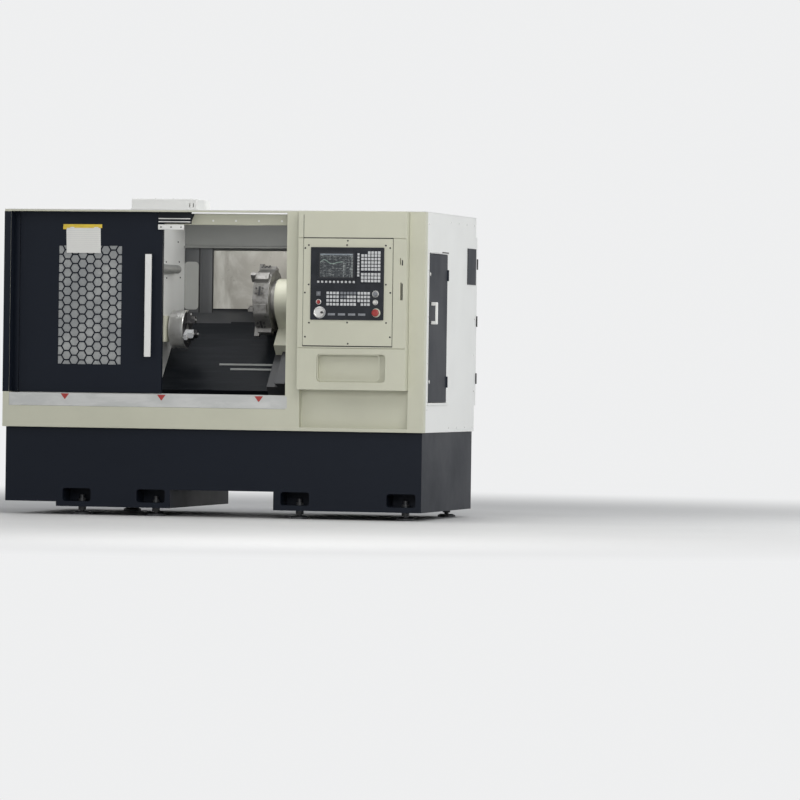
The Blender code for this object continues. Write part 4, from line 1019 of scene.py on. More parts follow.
class LATHE_OT_screws(Piece, bpy.types.Operator):
    """Set the sheet-metal screws of the control, the walls, the covers and the cabinet"""
    bl_idname = "lathe.screws"
    bl_label = "Screws"

    PLATE_SHARES = (  # of the plate's width and height
        (0.018, 0.909), (0.495, 0.980), (0.971, 0.915), (0.020, 0.493), (0.978, 0.498),
        (0.027, 0.080), (0.509, 0.020), (0.980, 0.085), (0.057, 0.937), (0.487, 0.940),
        (0.922, 0.938), (0.061, 0.569), (0.928, 0.574), (0.070, 0.212), (0.499, 0.217),
        (0.935, 0.217),
    )
    WALL_PLACES = (  # depth behind the front, and height
        (0.427, 1.504), (0.723, 1.506), (0.975, 1.512), (0.491, 1.390), (0.749, 1.396),
        (0.505, 1.302), (0.773, 1.310), (0.250, 1.504), (0.250, 1.390), (0.250, 1.302),
    )
    RAIL_BOLTS = (-0.044, 0.084, 0.213, 0.342)  # X
    RAIL_HEIGHT = 1.608
    RAIL_BOLT = [(0.0, 0.00012), (0.0050, 0.00012), (0.0058, 0.0), (0.0, 0.0)]
    SIDE_ROWS = (0.500, 1.620)  # heights of the lower and the upper row
    GUARD_ROWS = (1.115, 1.458)

    def execute(self, context):
        size = context.scene.lathe_looks.screw_size
        pan = pattern_of("pan_head", pan_head)
        self.inside(size, pan)
        self.outside(size * 1.1, pan)
        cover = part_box("saddle_cover")
        spots = [(cover[LOW].x + 0.012 + 0.20 * n, z) for n in range(5) for z in self.GUARD_ROWS]
        spots = [((x, guard_face(), z), FORWARD) for x, z in spots if x < cover[HIGH].x]
        scatter("guard_rivets", spots, pan, size * 0.6, "saddle", "brushed_stainless")
        return {"FINISHED"}

    def inside(self, size, pan):
        low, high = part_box("control_plate")
        wide, tall = high.x - low.x, high.z - low.z
        places = [(low.x + a * wide, low.y, low.z + b * tall) for a, b in self.PLATE_SHARES]
        spots = [(place, FORWARD) for place in places]
        scatter("control_screws", spots, pan, size * 1.1, "machine", "black_rubber")
        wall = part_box("inner_left_wall")[HIGH].x
        spots = [((wall, FRONT + depth, z), RIGHTWARD) for depth, z in self.WALL_PLACES]
        cap = pattern_of("socket_head", socket_head)
        scatter("wall_screws", spots, cap, size, "machine", "dark_steel")
        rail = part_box("top_rail")[LOW].y
        bm = bmesh.new()
        for x in self.RAIL_BOLTS:  # flush, because the door runs 0.3 mm in front
            lathe(bm, self.RAIL_BOLT, (x, rail, self.RAIL_HEIGHT), "-Y", 20)
        piece("rail_bolts", bm, "machine", "white_paint")

    def outside(self, size, pan):
        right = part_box("right_side_panel")[HIGH].x
        places = [(0.585 + 0.19 * n, z) for n in range(4) for z in self.SIDE_ROWS]
        places += [(1.178, z) for z in (0.70, 0.90, 1.10)]
        places += [(0.075, 0.60 + 0.25 * n) for n in range(5)]
        spots = [((right, FRONT + depth, z), RIGHTWARD) for depth, z in places]
        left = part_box("left_side_panel")[LOW].x
        places = [(0.12 + 0.26 * n, z) for n in range(5) for z in self.SIDE_ROWS]
        spots += [((left, FRONT + depth, z), LEFTWARD) for depth, z in places]
        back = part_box("rear_panel")[HIGH].y
        places = [(-1.16 + 0.26 * n, z) for n in range(6) for z in self.SIDE_ROWS]
        places += [(x, 0.78 + 0.28 * n) for n in range(3) for x in (-1.16, 0.20)]
        spots += [((x, back, z), BACKWARD) for x, z in places]
        scatter("side_screws", spots, pan, size, "machine", "bright_steel")


class LATHE_OT_display(Piece, bpy.types.Operator):
    """Build the display, its soft keys, the letter keys and the machine keys"""
    bl_idname = "lathe.display"
    bl_label = "Display and keys"

    SOFT_KEY, LETTER_KEY, MACHINE_KEY = 0.0118, 0.0142, 0.0140  # their widths
    PLATE_THICK = 0.0012  # of the plate under the letter keys
    MACHINE_ROWS = (1.2205, 1.2005, 1.1803, 1.1602)
    MACHINE_COLUMNS = 13
    LABEL_THICK = 0.0008

    def execute(self, context):
        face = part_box("operator_panel")[LOW].y
        self.screen()
        self.keys(face)
        self.lower_panel(face)
        return {"FINISHED"}

    def screen(self):
        low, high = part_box("screen")
        inset, bead = 0.0125, 0.0030
        x, z = (low.x + inset, high.x - inset), (low.z + inset, high.z - inset)
        front, glass, back = low.y - 0.0006, low.y + 0.0026, low.y + 0.0036
        bm = bmesh.new()
        prism(bm, round_box(x, z, 0.003), glass, back)
        piece("screen_glass", bm, "machine", "screen_glass")
        bm = bmesh.new()
        x, z = (x[0] - bead, x[1] + bead), (z[0] - bead, z[1] + bead)
        frame_bars(bm, x, z, bead, front, glass, 0.0006)
        piece("screen_bead", bm, "machine", "black_rubber")

    def keys(self, face):
        cap = pattern_of("key_cap", key_cap)
        low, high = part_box("screen")
        step = (high.x - low.x) / 9.6
        spots = [(low.x + 0.0030 + step * n, low.z - 0.0115) for n in range(10)]
        spots += [(high.x + 0.0140, high.z - 0.0175 - 0.0161 * n) for n in range(8)]
        spots = [((x, face, z), FORWARD) for x, z in spots]
        scatter("soft_keys", spots, cap, self.SOFT_KEY, "machine", "key_plastic", 0.0)
        low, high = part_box("keypad")
        front = face - self.PLATE_THICK
        bm = bmesh.new()
        bar(bm, (low.x, front, low.z), (high.x, face, high.z), 0.0006)
        plate = piece("keypad_plate", bm, "machine", "black_panel")
        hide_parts("keypad")
        columns = [low.x + (high.x - low.x) / 6 * (n + 0.5) for n in range(6)]
        rows = [high.z - 0.0235 - 0.0183 * n for n in range(5)]
        rows += [high.z - 0.1235 - 0.0178 * n for n in range(3)]
        spots = [((x, front, z), FORWARD) for z in rows for x in columns]
        spots += [((x, front, high.z - 0.0075), FORWARD) for x in columns[2:]]
        scatter("letter_keys", spots, cap, self.LETTER_KEY, "machine", "key_plastic", 0.0)

    def lower_panel(self, face):
        cap = pattern_of("key_cap", key_cap)
        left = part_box("operator_panel")[LOW].x
        pale, dark = [], []
        for row, z in enumerate(self.MACHINE_ROWS):
            for n in range(self.MACHINE_COLUMNS):
                if row == 3 and n == 9:  # one place in the last row has no key
                    continue
                x = left + 0.0970 + 0.01815 * n + 0.004 * (n > 3) + 0.004 * (n > 8)
                greyed = row == 0 and 3 < n < 9 or row == 1 and 3 < n < 6
                (dark if greyed else pale).append(((x, face, z), FORWARD))
        for name, spots, finish in (
            ("machine_keys", pale, "key_plastic"), ("dark_keys", dark, "dark_key_plastic"),
        ):
            scatter(name, spots, cap, self.MACHINE_KEY, "machine", finish, 0.0)
        bm = bmesh.new()
        front = face - self.LABEL_THICK
        x, z = (left + 0.034, left + 0.056), (1.206, 1.228)
        frame_bars(bm, x, z, 0.003, face - 0.0016, face, 0.0005)
        bar(bm, (x[0] + 0.004, front, z[0] + 0.004), (x[1] - 0.004, face, z[1] - 0.004), 0.0003)
        for n in range(4):
            x = left + 0.098 + 0.056 * n
            bar(bm, (x, front, 1.100), (x + 0.040, face, 1.112), 0.0003)
        piece("panel_plates", bm, "machine", "dark_key_plastic")


class LATHE_OT_controls(Piece, bpy.types.Operator):
    """Turn the handwheel, the stop, the button, the key switch and the knob"""
    bl_idname = "lathe.controls"
    bl_label = "Wheel, buttons and switches"

    STEM = 0.0045  # radius of the stems that go into the panel

    def execute(self, context):
        self.wheel()
        self.stop()
        self.small_switches()
        return {"FINISHED"}

    def measure(self, node):
        """A control's middle on the panel's face, its radius, and how far it stands out."""
        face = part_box("operator_panel")[LOW].y
        low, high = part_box(node)
        middle = (low + high) / 2
        return Vector((middle.x, face, middle.z)), (high.z - low.z) / 2, face - low.y

    def dots(self, bm, place, radius, rise, angles, dot, sides):
        """Small turned dots in a circle; dot gives each one's radius, front and back."""
        wide, front, back = dot
        for angle in angles:
            spot = place + round_y(angle, radius, rise)
            lathe(bm, [(wide, front), (wide, back)], spot, "-Y", sides)

    def wheel(self):
        place, radius, _ = self.measure("handwheel")
        bm = bmesh.new()
        profile = [
            (0.0, 0.0150), (radius * 0.30, 0.0150), (radius * 0.34, 0.0135),
            (radius * 0.72, 0.0135), (radius * 0.78, 0.0195), (radius * 0.90, 0.0200),
            (radius - 0.0012, 0.0188),
            (radius, 0.0170), (radius, 0.0060), (radius - 0.002, 0.0042), (radius * 0.5, 0.0040),
            (self.STEM, 0.0004), (self.STEM, -0.0050), (0.0, -0.0050),
        ]
        lathe(bm, profile, place, "-Y", 48)
        ribs = [2 * pi * n / 36 for n in range(36)]
        self.dots(bm, place, radius, 0.0115, ribs, (0.0008, 0.005, -0.005), 6)
        wheel = piece("handwheel_disc", bm, "handwheel", "bright_steel")
        bm = bmesh.new()
        profile = [
            (0.0, 0.0435), (0.0040, 0.0435), (0.0056, 0.0415), (0.0060, 0.030), (0.0042, 0.0215),
            (0.0042, 0.019), (0.0, 0.019),
        ]
        lathe(bm, profile, place + round_y(0, radius * 0.65), "-Y", 20)
        piece("handwheel_crank", bm, "handwheel", "black_rubber")
        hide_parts("handwheel")
        bm = bmesh.new()
        profile = [
            (radius + 0.0030, 0.0), (radius + 0.0030, 0.0020), (radius + 0.0010, 0.0034),
            (0.0060, 0.0034), (0.0060, 0.0),
        ]
        ring(bm, profile, place)
        marks = [2 * pi * n / 50 for n in range(50)]
        self.dots(bm, place, radius + 0.0024, 0.0024, marks, (0.0004, 0.0006, -0.0008), 5)
        piece("wheel_dial", bm, "machine", "key_plastic")

    def stop(self):
        place, radius, rise = self.measure("emergency_stop")
        bm = bmesh.new()
        profile = [
            (0.0, rise - 0.0012), (radius * 0.30, rise - 0.0010), (radius * 0.66, rise),
            (radius * 0.84, rise - 0.0012), (radius * 0.96, rise - 0.0045), (radius, rise - 0.0080),
            (radius * 0.97, rise - 0.0120), (radius * 0.66, rise - 0.0150), (radius * 0.62, 0.0056),
            (self.STEM, 0.0053), (self.STEM, -0.0004), (0.0, -0.0004),
        ]
        lathe(bm, profile, place, "-Y", 40)
        for n in range(3):
            spot = place + round_y(2 * pi * n / 3 + 0.4, radius * 0.42)
            lathe(bm, [(0.0014, rise - 0.0002), (0.0020, rise - 0.0012)], spot, "-Y", 6)
        button = piece("stop_mushroom", bm, "emergency_stop", "red_plastic")
        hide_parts("emergency_stop")
        bm = bmesh.new()
        profile = [
            (radius + 0.0040, 0.0), (radius + 0.0036, 0.0030), (radius - 0.0020, 0.0042),
            (radius * 0.70, 0.0042), (radius * 0.70, 0.0),
        ]
        ring(bm, profile, place)
        piece("stop_collar", bm, "machine", "cream_paint")

    def small_switches(self):
        collars = bmesh.new()
        for node, finish in (
            ("power_button", "red_plastic"), ("key_switch", "bright_steel"),
            ("override_knob", "dark_key_plastic"),
        ):
            low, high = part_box(node)
            place, _, rise = self.measure(node)
            radius = (high.x - low.x) / 2
            profile, blade = getattr(self, node)(radius, rise)
            bm = bmesh.new()
            lathe(bm, profile, place, "-Y", 32)
            if blade:
                front, back, edge = blade
                bar(bm, place + Vector(front), place + Vector(back), edge)
            made = piece(node + "_cap", bm, node, finish)
            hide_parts(node)
            profile = [
                (radius + 0.0036, 0.0), (radius + 0.0032, 0.0016), (radius + 0.0008, 0.0024),
                (radius + 0.0006, 0.0),
            ]
            ring(collars, profile, place)
            if node == "override_knob":
                scale = [radians(-60 + 30 * n) for n in range(11)]
                self.dots(collars, place, radius + 0.0058, 0.0, scale, (0.0009, 0.0005, -0.0003), 6)
        piece("switch_collars", collars, "machine", "bright_steel")

    def power_button(self, radius, rise):
        side = radius - 0.0004
        profile = [
            (0.0, rise - 0.0014), (radius * 0.62, rise - 0.0010), (radius * 0.86, rise),
            (radius - 0.0008, rise - 0.0006), (side, rise - 0.003), (side, 0.0033),
            (self.STEM, 0.0033), (self.STEM, -0.002), (0.0, -0.002),
        ]
        return profile, None

    def key_switch(self, radius, rise):
        """The lock's turned face, and the key's grip as a blade."""
        profile = [
            (0.0, 0.0080), (0.0046, 0.0080), (0.0052, 0.0090), (radius * 0.86, 0.0090),
            (radius - 0.0006, 0.0078), (radius, 0.0050), (radius, 0.0004), (self.STEM, 0.0004),
            (self.STEM, -0.004), (0.0, -0.004),
        ]
        return profile, ((-0.0011, -rise + 0.0002, -0.0075), (0.0011, -0.0078, 0.0075), 0.0005)

    def override_knob(self, radius, rise):
        """The knob's turned body, and its pointer as a blade."""
        side = radius - 0.0004
        profile = [
            (0.0, rise), (radius * 0.66, rise), (radius * 0.74, rise - 0.0015),
            (radius * 0.80, 0.0060), (side, 0.0045), (side, 0.0006), (self.STEM, 0.0004),
            (self.STEM, -0.004), (0.0, -0.004),
        ]
        return profile, ((-0.0008, -rise - 0.0003, 0.001), (0.0008, -rise + 0.0010, 0.0088), 0.0003)


class LATHE_OT_door_sheet(Piece, bpy.types.Operator):
    """Tape the blank sheet to the door and cap the ends of the grab bar"""
    bl_idname = "lathe.door_sheet"
    bl_label = "Door sheet, tape and bar"

    COLUMNS, ROWS = 14, 10
    SHEET_LEFT, SHEET_BOTTOM = -0.8630, 1.4270
    SHEET_WIDTH, SHEET_HEIGHT = 0.1950, 0.1410
    SHEET_LEAN = 0.004  # how far its top edge stands left of its bottom edge
    SHEET_THICK = 0.0003
    TAPES = (  # left, bottom, right, top, and how far the tape's face stands out
        (-0.8840, 1.5630, -0.6630, 1.5830, 0.0014), (-0.8850, 1.5550, -0.8640, 1.5700, 0.0016),
    )
    BAR_SCREW = [(0.0, 0.0012), (0.0052, 0.0012), (0.0062, 0.0004), (0.0062, 0.0)]

    def execute(self, context):
        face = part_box("door")[LOW].y
        self.sheet(face)
        bm = bmesh.new()
        for left, bottom, right, top, rise in self.TAPES:
            bar(bm, (left, face - rise, bottom), (right, face - GAP, top), 0.0004)
        piece("sheet_tape", bm, "door", "yellow_tape")
        low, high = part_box("door_handle")
        bm = bmesh.new()
        for z in (low.z + 0.055, high.z - 0.055):
            lathe(bm, self.BAR_SCREW, ((low.x + high.x) / 2, low.y, z), "-Y", 20)
        piece("bar_screws", bm, "door", "white_paint")
        return {"FINISHED"}

    def sheet(self, face):
        """The paper hangs from its tape and curls off the door towards its lower edge."""
        bm = bmesh.new()
        grid = []
        for m in range(self.ROWS + 1):
            up = m / self.ROWS
            row = []
            for n in range(self.COLUMNS + 1):
                across = n / self.COLUMNS
                x = self.SHEET_LEFT + self.SHEET_WIDTH * across - self.SHEET_LEAN * up
                curl = 0.0040 * (1 - up) ** 3 * (0.4 + 0.6 * across) + 0.0006 * sin(9 * across)
                z = self.SHEET_BOTTOM + self.SHEET_HEIGHT * up
                row.append(bm.verts.new((x, face - 0.0009 - curl, z)))
            grid.append(row)
        for below, above in zip(grid, grid[1:]):
            for n in range(self.COLUMNS):
                bm.faces.new((below[n], below[n + 1], above[n + 1], above[n]))
        grown = bmesh.ops.extrude_face_region(bm, geom=bm.faces[:])["geom"]
        back = [part for part in grown if hasattr(part, "co")]
        bmesh.ops.translate(bm, vec=(0, self.SHEET_THICK, 0), verts=back)
        bmesh.ops.recalc_face_normals(bm, faces=bm.faces)
        piece("taped_sheet", bm, "door", "blank_paper")


class LATHE_OT_hood(Piece, bpy.types.Operator):
    """Fold the door guide, its wiper bands and the strip with its screws under the hood"""
    bl_idname = "lathe.hood"
    bl_label = "Hood and door guide"

    GUIDE = (-0.3400, -0.1560)  # X of the channel that the door runs in
    GUIDE_FACE = FRONT + 0.0440
    LIPS = (1.5965, 1.6135)  # heights of its wiper bands
    STRIP = (-0.3420, -0.1970)  # X of the strip under it
    STRIP_SCREWS = (-0.325, -0.268, -0.212)

    def execute(self, context):
        self.guide()
        low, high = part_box("top_hood")
        bm = bmesh.new()
        near, far = (low.x - 0.004, low.y - 0.0010, low.z), (high.x + 0.004, low.y + 0.0010)
        bar(bm, near, (*far, low.z + 0.0060), 0.0006)
        near, far = (low.x + 0.010, low.y - 0.0006), (high.x - 0.060, low.y + 0.0006)
        bar(bm, (*near, high.z - 0.0080), (*far, high.z - 0.0070), 0.0002)
        piece("hood_hem", bm, "machine", "white_paint")
        spots = [((low.x + 0.03 + 0.10 * n, low.y + 0.02, high.z), UPWARD) for n in range(4)]
        cap = pattern_of("socket_head", socket_head)
        scatter("hood_screws", spots, cap, 0.0080, "machine", "bright_steel")
        return {"FINISHED"}

    def guide(self):
        left, right = self.GUIDE
        face = self.GUIDE_FACE
        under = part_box("roof")[LOW].z - GAP
        bm = bmesh.new()
        bar(bm, (left, face + 0.0020, 1.5900), (right, face + 0.0140, under), 0.0010)
        stop = [(right, 1.6035), (right + 0.0160, 1.6420), (right, 1.6420)]
        prism(bm, stop, face + 0.0025, face + 0.0135)
        piece("guide_channel", bm, "machine", "shaded_dark_sheet")
        bm = bmesh.new()
        for z in self.LIPS:
            bar(bm, (left, face, z), (right - 0.0040, face + 0.0022, z + 0.0060), 0.0008)
        piece("guide_lips", bm, "machine", "bright_steel")
        left, right = self.STRIP
        bm = bmesh.new()
        bar(bm, (left, face, 1.5570), (right, face + 0.0060, 1.5850), 0.0012)
        piece("guide_strip", bm, "machine", "white_paint")
        spots = [((x, face, 1.5705), FORWARD) for x in self.STRIP_SCREWS]
        cap = pattern_of("socket_head", socket_head)
        scatter("strip_screws", spots, cap, 0.0075, "machine", "dark_steel")


def guard_face():
    """Y of the stainless guard's front."""
    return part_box("saddle_cover")[HIGH].y - 0.0030


class LATHE_OT_interior(Piece, bpy.types.Operator):
    """Hang the header, the guard leaves, the round pipe and the chip guards"""
    bl_idname = "lathe.interior"
    bl_label = "Working space"

    HEADER_BOTTOM = 1.4760
    LEAF_TOP = 1.4755
    SEAM = (-0.3425, -0.3345)  # X of the gap between the pale leaf and the dark one
    PIPE_RADIUS, PIPE_HEIGHT = 0.0235, 1.3520
    PIPE_ENDS = (FRONT + 0.125, FRONT + 0.631)
    PIPE_CLAMPS = (FRONT + 0.18, FRONT + 0.52)
    RIB_LINE = ((0.559, 0.800), (0.407, 0.701), (0.384, 0.660))  # depth and height
    LIPS = ((0.003, -0.050), (0.073, -0.086))  # start from the cover's left end, place along
    COVER_FACE = -0.2178  # the moving way cover's face, across the ways from the spindle axis
    BETWEEN_COVERS = (-0.2237, -0.2214)

    def execute(self, context):
        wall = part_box("inner_left_wall")[HIGH]
        back = guard_face() - 0.0020
        self.header(wall, back)
        self.leaves(wall.x + 0.0008, back)
        self.pipe(wall.x)
        self.rib(wall.x)
        self.lips()
        return {"FINISHED"}

    def header(self, wall, back):
        """A sheet from the roof down to a folded lower edge."""
        low, fold, front = self.HEADER_BOTTOM, back - 0.0060, back - 0.0240
        section = [
            (back, low), (back - 0.0200, low), (front, low + 0.0030), (front, low + 0.0100),
            (fold, low + 0.0140), (fold, wall.z), (back, wall.z),
        ]
        bm = bmesh.new()
        prism(bm, section, wall.x + GAP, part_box("inner_right_wall")[LOW].x, "X")
        # painted shade: the header's pale lining is given a darker grey, the shade under the roof
        piece("header_sheet", bm, "machine", "shaded_header_paint")

    def leaves(self, start, back):
        """A pale round-cornered leaf on a dark one, and a dark one up to the guard."""
        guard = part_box("saddle_cover")[LOW]
        bottom, top = guard.z - 0.004, self.LEAF_TOP
        left, right = self.SEAM
        end = guard.x - 0.0065
        bm = bmesh.new()
        leaf = round_box((start, left), (bottom + 0.050, 1.4000), 0.022)
        prism(bm, leaf, back - 0.0080, back - 0.0025)
        piece("round_leaf", bm, "machine", "leaf_grey")
        bm = bmesh.new()
        bar(bm, (start, back - 0.0025, bottom), (left, back - 0.0005, top), 0.0005)
        bar(bm, (right, back - 0.0045, bottom), (end, back - 0.0005, top), 0.0010)
        near = (right + 0.0015, back - 0.0075, bottom + 0.02)
        bar(bm, near, (right + 0.0075, back - 0.0040, top), 0.0010)
        piece("guard_leaves", bm, "machine", "leaf_dark")
        bm = bmesh.new()
        for near, far in ((left, right), (end, end + 0.0055)):
            bar(bm, (near, back - 0.0030, bottom), (far, back - 0.0010, top), 0.0003)
        piece("leaf_seams", bm, "machine", "black_rubber")

    def pipe(self, wall):
        radius = self.PIPE_RADIUS
        start, stop = self.PIPE_ENDS
        groove, length = radius - 0.0012, stop - start
        profile = [
            (0.0, 0.0), (radius * 0.80, 0.0), (radius * 0.97, -0.0040), (radius, -0.0100),
            (radius, -0.0700), (groove, -0.0715), (groove, -0.0790), (radius, -0.0805),
            (radius, -length), (0.0, -length),
        ]
        bm = bmesh.new()
        lathe(bm, profile, (wall + radius + 0.0040, stop, self.PIPE_HEIGHT), "Y", 40)
        low, high = self.PIPE_HEIGHT - 0.0220, self.PIPE_HEIGHT + 0.0220
        for y in self.PIPE_CLAMPS:
            bar(bm, (wall + 0.0004, y, low), (wall + 0.0180, y + 0.020, high), 0.0015)
        piece("round_pipe", bm, "machine", "shaded_header_paint")

    def rib(self, wall):
        """A bent rib on the left wall that sheds the chips."""
        bm = bmesh.new()
        for (start, upper), (end, lower) in zip(self.RIB_LINE, self.RIB_LINE[1:]):
            shape = [(start, upper), (start, upper - 0.006), (end, lower - 0.006), (end, lower)]
            prism(bm, [(FRONT + depth, z) for depth, z in shape], wall + GAP, wall + 0.0100, "X")
        piece("wall_rib", bm, "machine", "bright_steel")

    def lips(self):
        """The way covers' wiper strips, the sheet between the covers, and the pan's hem."""
        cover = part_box("way_cover_moving")
        left, end, off = cover[LOW].x, cover[HIGH].x - 0.002, self.COVER_FACE
        bm = bmesh.new()
        for start, along in self.LIPS:
            near = along - 0.010
            section = ((along, off), (near, off), (near, off + 0.003), (along, off + 0.006))
            across_bed(bm, section, left + start, end)
        piece("cover_lips", bm, "saddle", "grey_sheet")
        low, high = self.BETWEEN_COVERS
        section = ((-0.245, low), (0.275, low), (0.275, high), (-0.245, high))
        bm = bmesh.new()
        across_bed(bm, section, left - 0.050, left + 0.020)
        piece("middle_cover", bm, "saddle", "shaded_dark_sheet")
        low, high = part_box("chip_pan")
        near, far = (low.x + 0.01, low.y + 0.0005), (high.x - 0.01, low.y + 0.0060)
        bm = bmesh.new()
        bar(bm, (*near, high.z + GAP), (*far, high.z + 0.0030), 0.0008)
        piece("pan_hem", bm, "machine", "bright_steel")


class LATHE_OT_chuck(Piece, bpy.types.Operator):
    """Fit the chuck's bolts and rings, and the jaws' bolts and teeth"""
    bl_idname = "lathe.chuck"
    bl_label = "Chuck and jaws"

    BOLT_CIRCLE = 0.074
    JAW_BOLTS = ((0.0, 0.052), (-0.027, 0.081))  # X from the jaw's front, radius
    TOOTH = (0.0030, 0.030, 0.0016)
    TOOTH_RADIUS, TOOTH_PITCH, TOOTH_COUNT = 0.0322, 0.008, 5

    def execute(self, context):
        middle = on_bed(0, 0, 0)
        low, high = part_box("chuck")
        cap = pattern_of("socket_head", socket_head)
        spots = []
        for n in range(3):
            out = round_x(radians(60 + 120 * n)) * self.BOLT_CIRCLE
            spots.append(((high.x, middle.y + out.y, middle.z + out.z), RIGHTWARD))
        scatter("chuck_bolts", spots, cap, 0.014, "spindle", "dark_steel")
        self.rings(middle, low.x, high.x, (high.z - low.z) / 2)
        for n in range(3):
            self.jaw(f"jaw_{n + 1}", middle, round_x(-radians(120 * n)), cap)
        return {"FINISHED"}

    def rings(self, middle, back, front, radius):
        bm = bmesh.new()
        foot = radius - 0.002
        middle_x = (back + front) / 2
        for x, rise in ((back + 0.004, 0.0006), (middle_x, 0.0005), (front - 0.010, 0.0006)):
            top = radius + rise
            profile = [(foot, 0.0), (top, 0.0005), (top, 0.0025), (foot, 0.0030)]
            ring(bm, profile, (x, middle.y, middle.z), "X", 64)
        bmesh.ops.recalc_face_normals(bm, faces=bm.faces)
        piece("chuck_rings", bm, "spindle", "bright_steel")

    def jaw(self, node, middle, way, cap):
        """The bolts and the gripping teeth of the jaw that slides along way."""
        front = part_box(node)[HIGH].x
        spots = []
        for back, radius in self.JAW_BOLTS:
            spots.append((middle + way * radius + Vector((front + back, 0, 0)), RIGHTWARD))
        number = node[-1]
        scatter(f"jaw_bolts_{number}", spots, cap, 0.0125, node, "bright_steel")
        bm = bmesh.new()
        for n in range(self.TOOTH_COUNT):
            x = front - 0.006 - self.TOOTH_PITCH * n
            tooth = middle + way * self.TOOTH_RADIUS + Vector((x, 0, 0))
            block(bm, tooth, way, self.TOOTH)
        # the teeth take their jaw's finish, the painted highlight of jaw_2 too
        piece(f"jaw_teeth_{number}", bm, node, FINISH_OF_NODE[node])


class LATHE_OT_turret(Piece, bpy.types.Operator):
    """Fit the turret's bolts, its bushing blocks, clamp screws, nozzles and centre plate"""
    bl_idname = "lathe.turret"
    bl_label = "Turret and tools"

    STATIONS = 12
    FIRST_STATION = radians(45)
    FLAT = 0.165  # from the turret's axis to the flats that the tools stand on
    BOSS_CIRCLE, NOZZLE_CIRCLE = 0.046, 0.147
    PLATE = [
        (0.0, 0.0190), (0.022, 0.0190), (0.0300, 0.0170), (0.0320, 0.0140), (0.0320, 0.0138),
        (0.0, 0.0138),
    ]
    NOZZLE = [(0.0, 0.0052), (0.0028, 0.0048), (0.0048, 0.0020), (0.0050, 0.0)]
    HOLDER_RISE = 0.024  # of the tool holders in the solids
    BUSHING = (0.058, 0.050, 0.017)
    # size of the thin black slab on each block: painted shadow for the block's groove
    GROOVE_SHADOW = (0.012, 0.052, 0.0008)
    BLOCK_MIDDLE = 0.044  # along X, behind the disc's flat face
    CLAMPS = (0.026, 0.062)

    def execute(self, context):
        _, y, z = joint_place("turret_index")
        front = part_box("turret_disc")[LOW].x + 0.016  # the disc's flat face, behind the shanks
        middle = Vector((front, y, z))
        cap = pattern_of("socket_head", socket_head)
        spots = []
        for way, side in self.ways():
            for along in (-0.018, 0.018):
                place = middle + way * (self.FLAT - 0.030) + side * along
                spots.append((place, LEFTWARD))
        self.bolts("station_bolts", spots, cap, 0.0100)
        self.holders(middle, cap)
        spots = []
        for n in range(8):
            out = round_x(2 * pi * n / 8) * self.BOSS_CIRCLE
            spots.append(((front - 0.0140, y + out.y, z + out.z), LEFTWARD))
        self.bolts("boss_bolts", spots, cap, 0.0120)
        bm = bmesh.new()
        lathe(bm, self.PLATE, middle, "-X", 40)
        for n in range(self.STATIONS):
            angle = self.FIRST_STATION + radians(15) + 2 * pi * n / self.STATIONS
            lathe(bm, self.NOZZLE, middle + round_x(angle) * self.NOZZLE_CIRCLE, "-X", 14)
        piece("turret_fittings", bm, "turret", "bright_steel")
        return {"FINISHED"}

    def ways(self):
        """For each station, the way out from the axis and the way along its flat."""
        for n in range(self.STATIONS):
            angle = self.FIRST_STATION + 2 * pi * n / self.STATIONS
            yield round_x(angle), Vector((0, cos(angle), -sin(angle)))

    def bolts(self, name, spots, cap, size):
        scatter(name, spots, cap, size, "turret", "dark_steel")

    def holders(self, middle, cap):
        """Bushing blocks on the free flats, a thin black slab on every block as painted shadow for
        its groove, and the clamp screws on all the blocks.
        """
        blocks, groove_shadows, spots = bmesh.new(), bmesh.new(), []
        across = Vector((self.BLOCK_MIDDLE, 0, 0))
        for n, (way, side) in enumerate(self.ways()):
            rise = self.HOLDER_RISE
            if n % 2:
                rise = self.BUSHING[2]
                foot = self.FLAT + GAP + rise / 2
                block(blocks, middle + across + way * foot, way, self.BUSHING, 0.0025)
            # painted shadow: a thin black slab on the block's top stands for its groove
            foot = self.FLAT + rise + self.GROOVE_SHADOW[2]
            block(groove_shadows, middle + across + way * foot, way, self.GROOVE_SHADOW)
            for x in self.CLAMPS:
                for along in (-0.015, 0.015):
                    top = middle + Vector((x, 0, 0)) + way * (self.FLAT + rise)
                    spots.append((top + side * along, way))
        piece("bushing_blocks", blocks, "turret", "bright_steel")
        piece("block_grooves", groove_shadows, "turret", "black_rubber")
        self.bolts("clamp_screws", spots, cap, 0.0115)


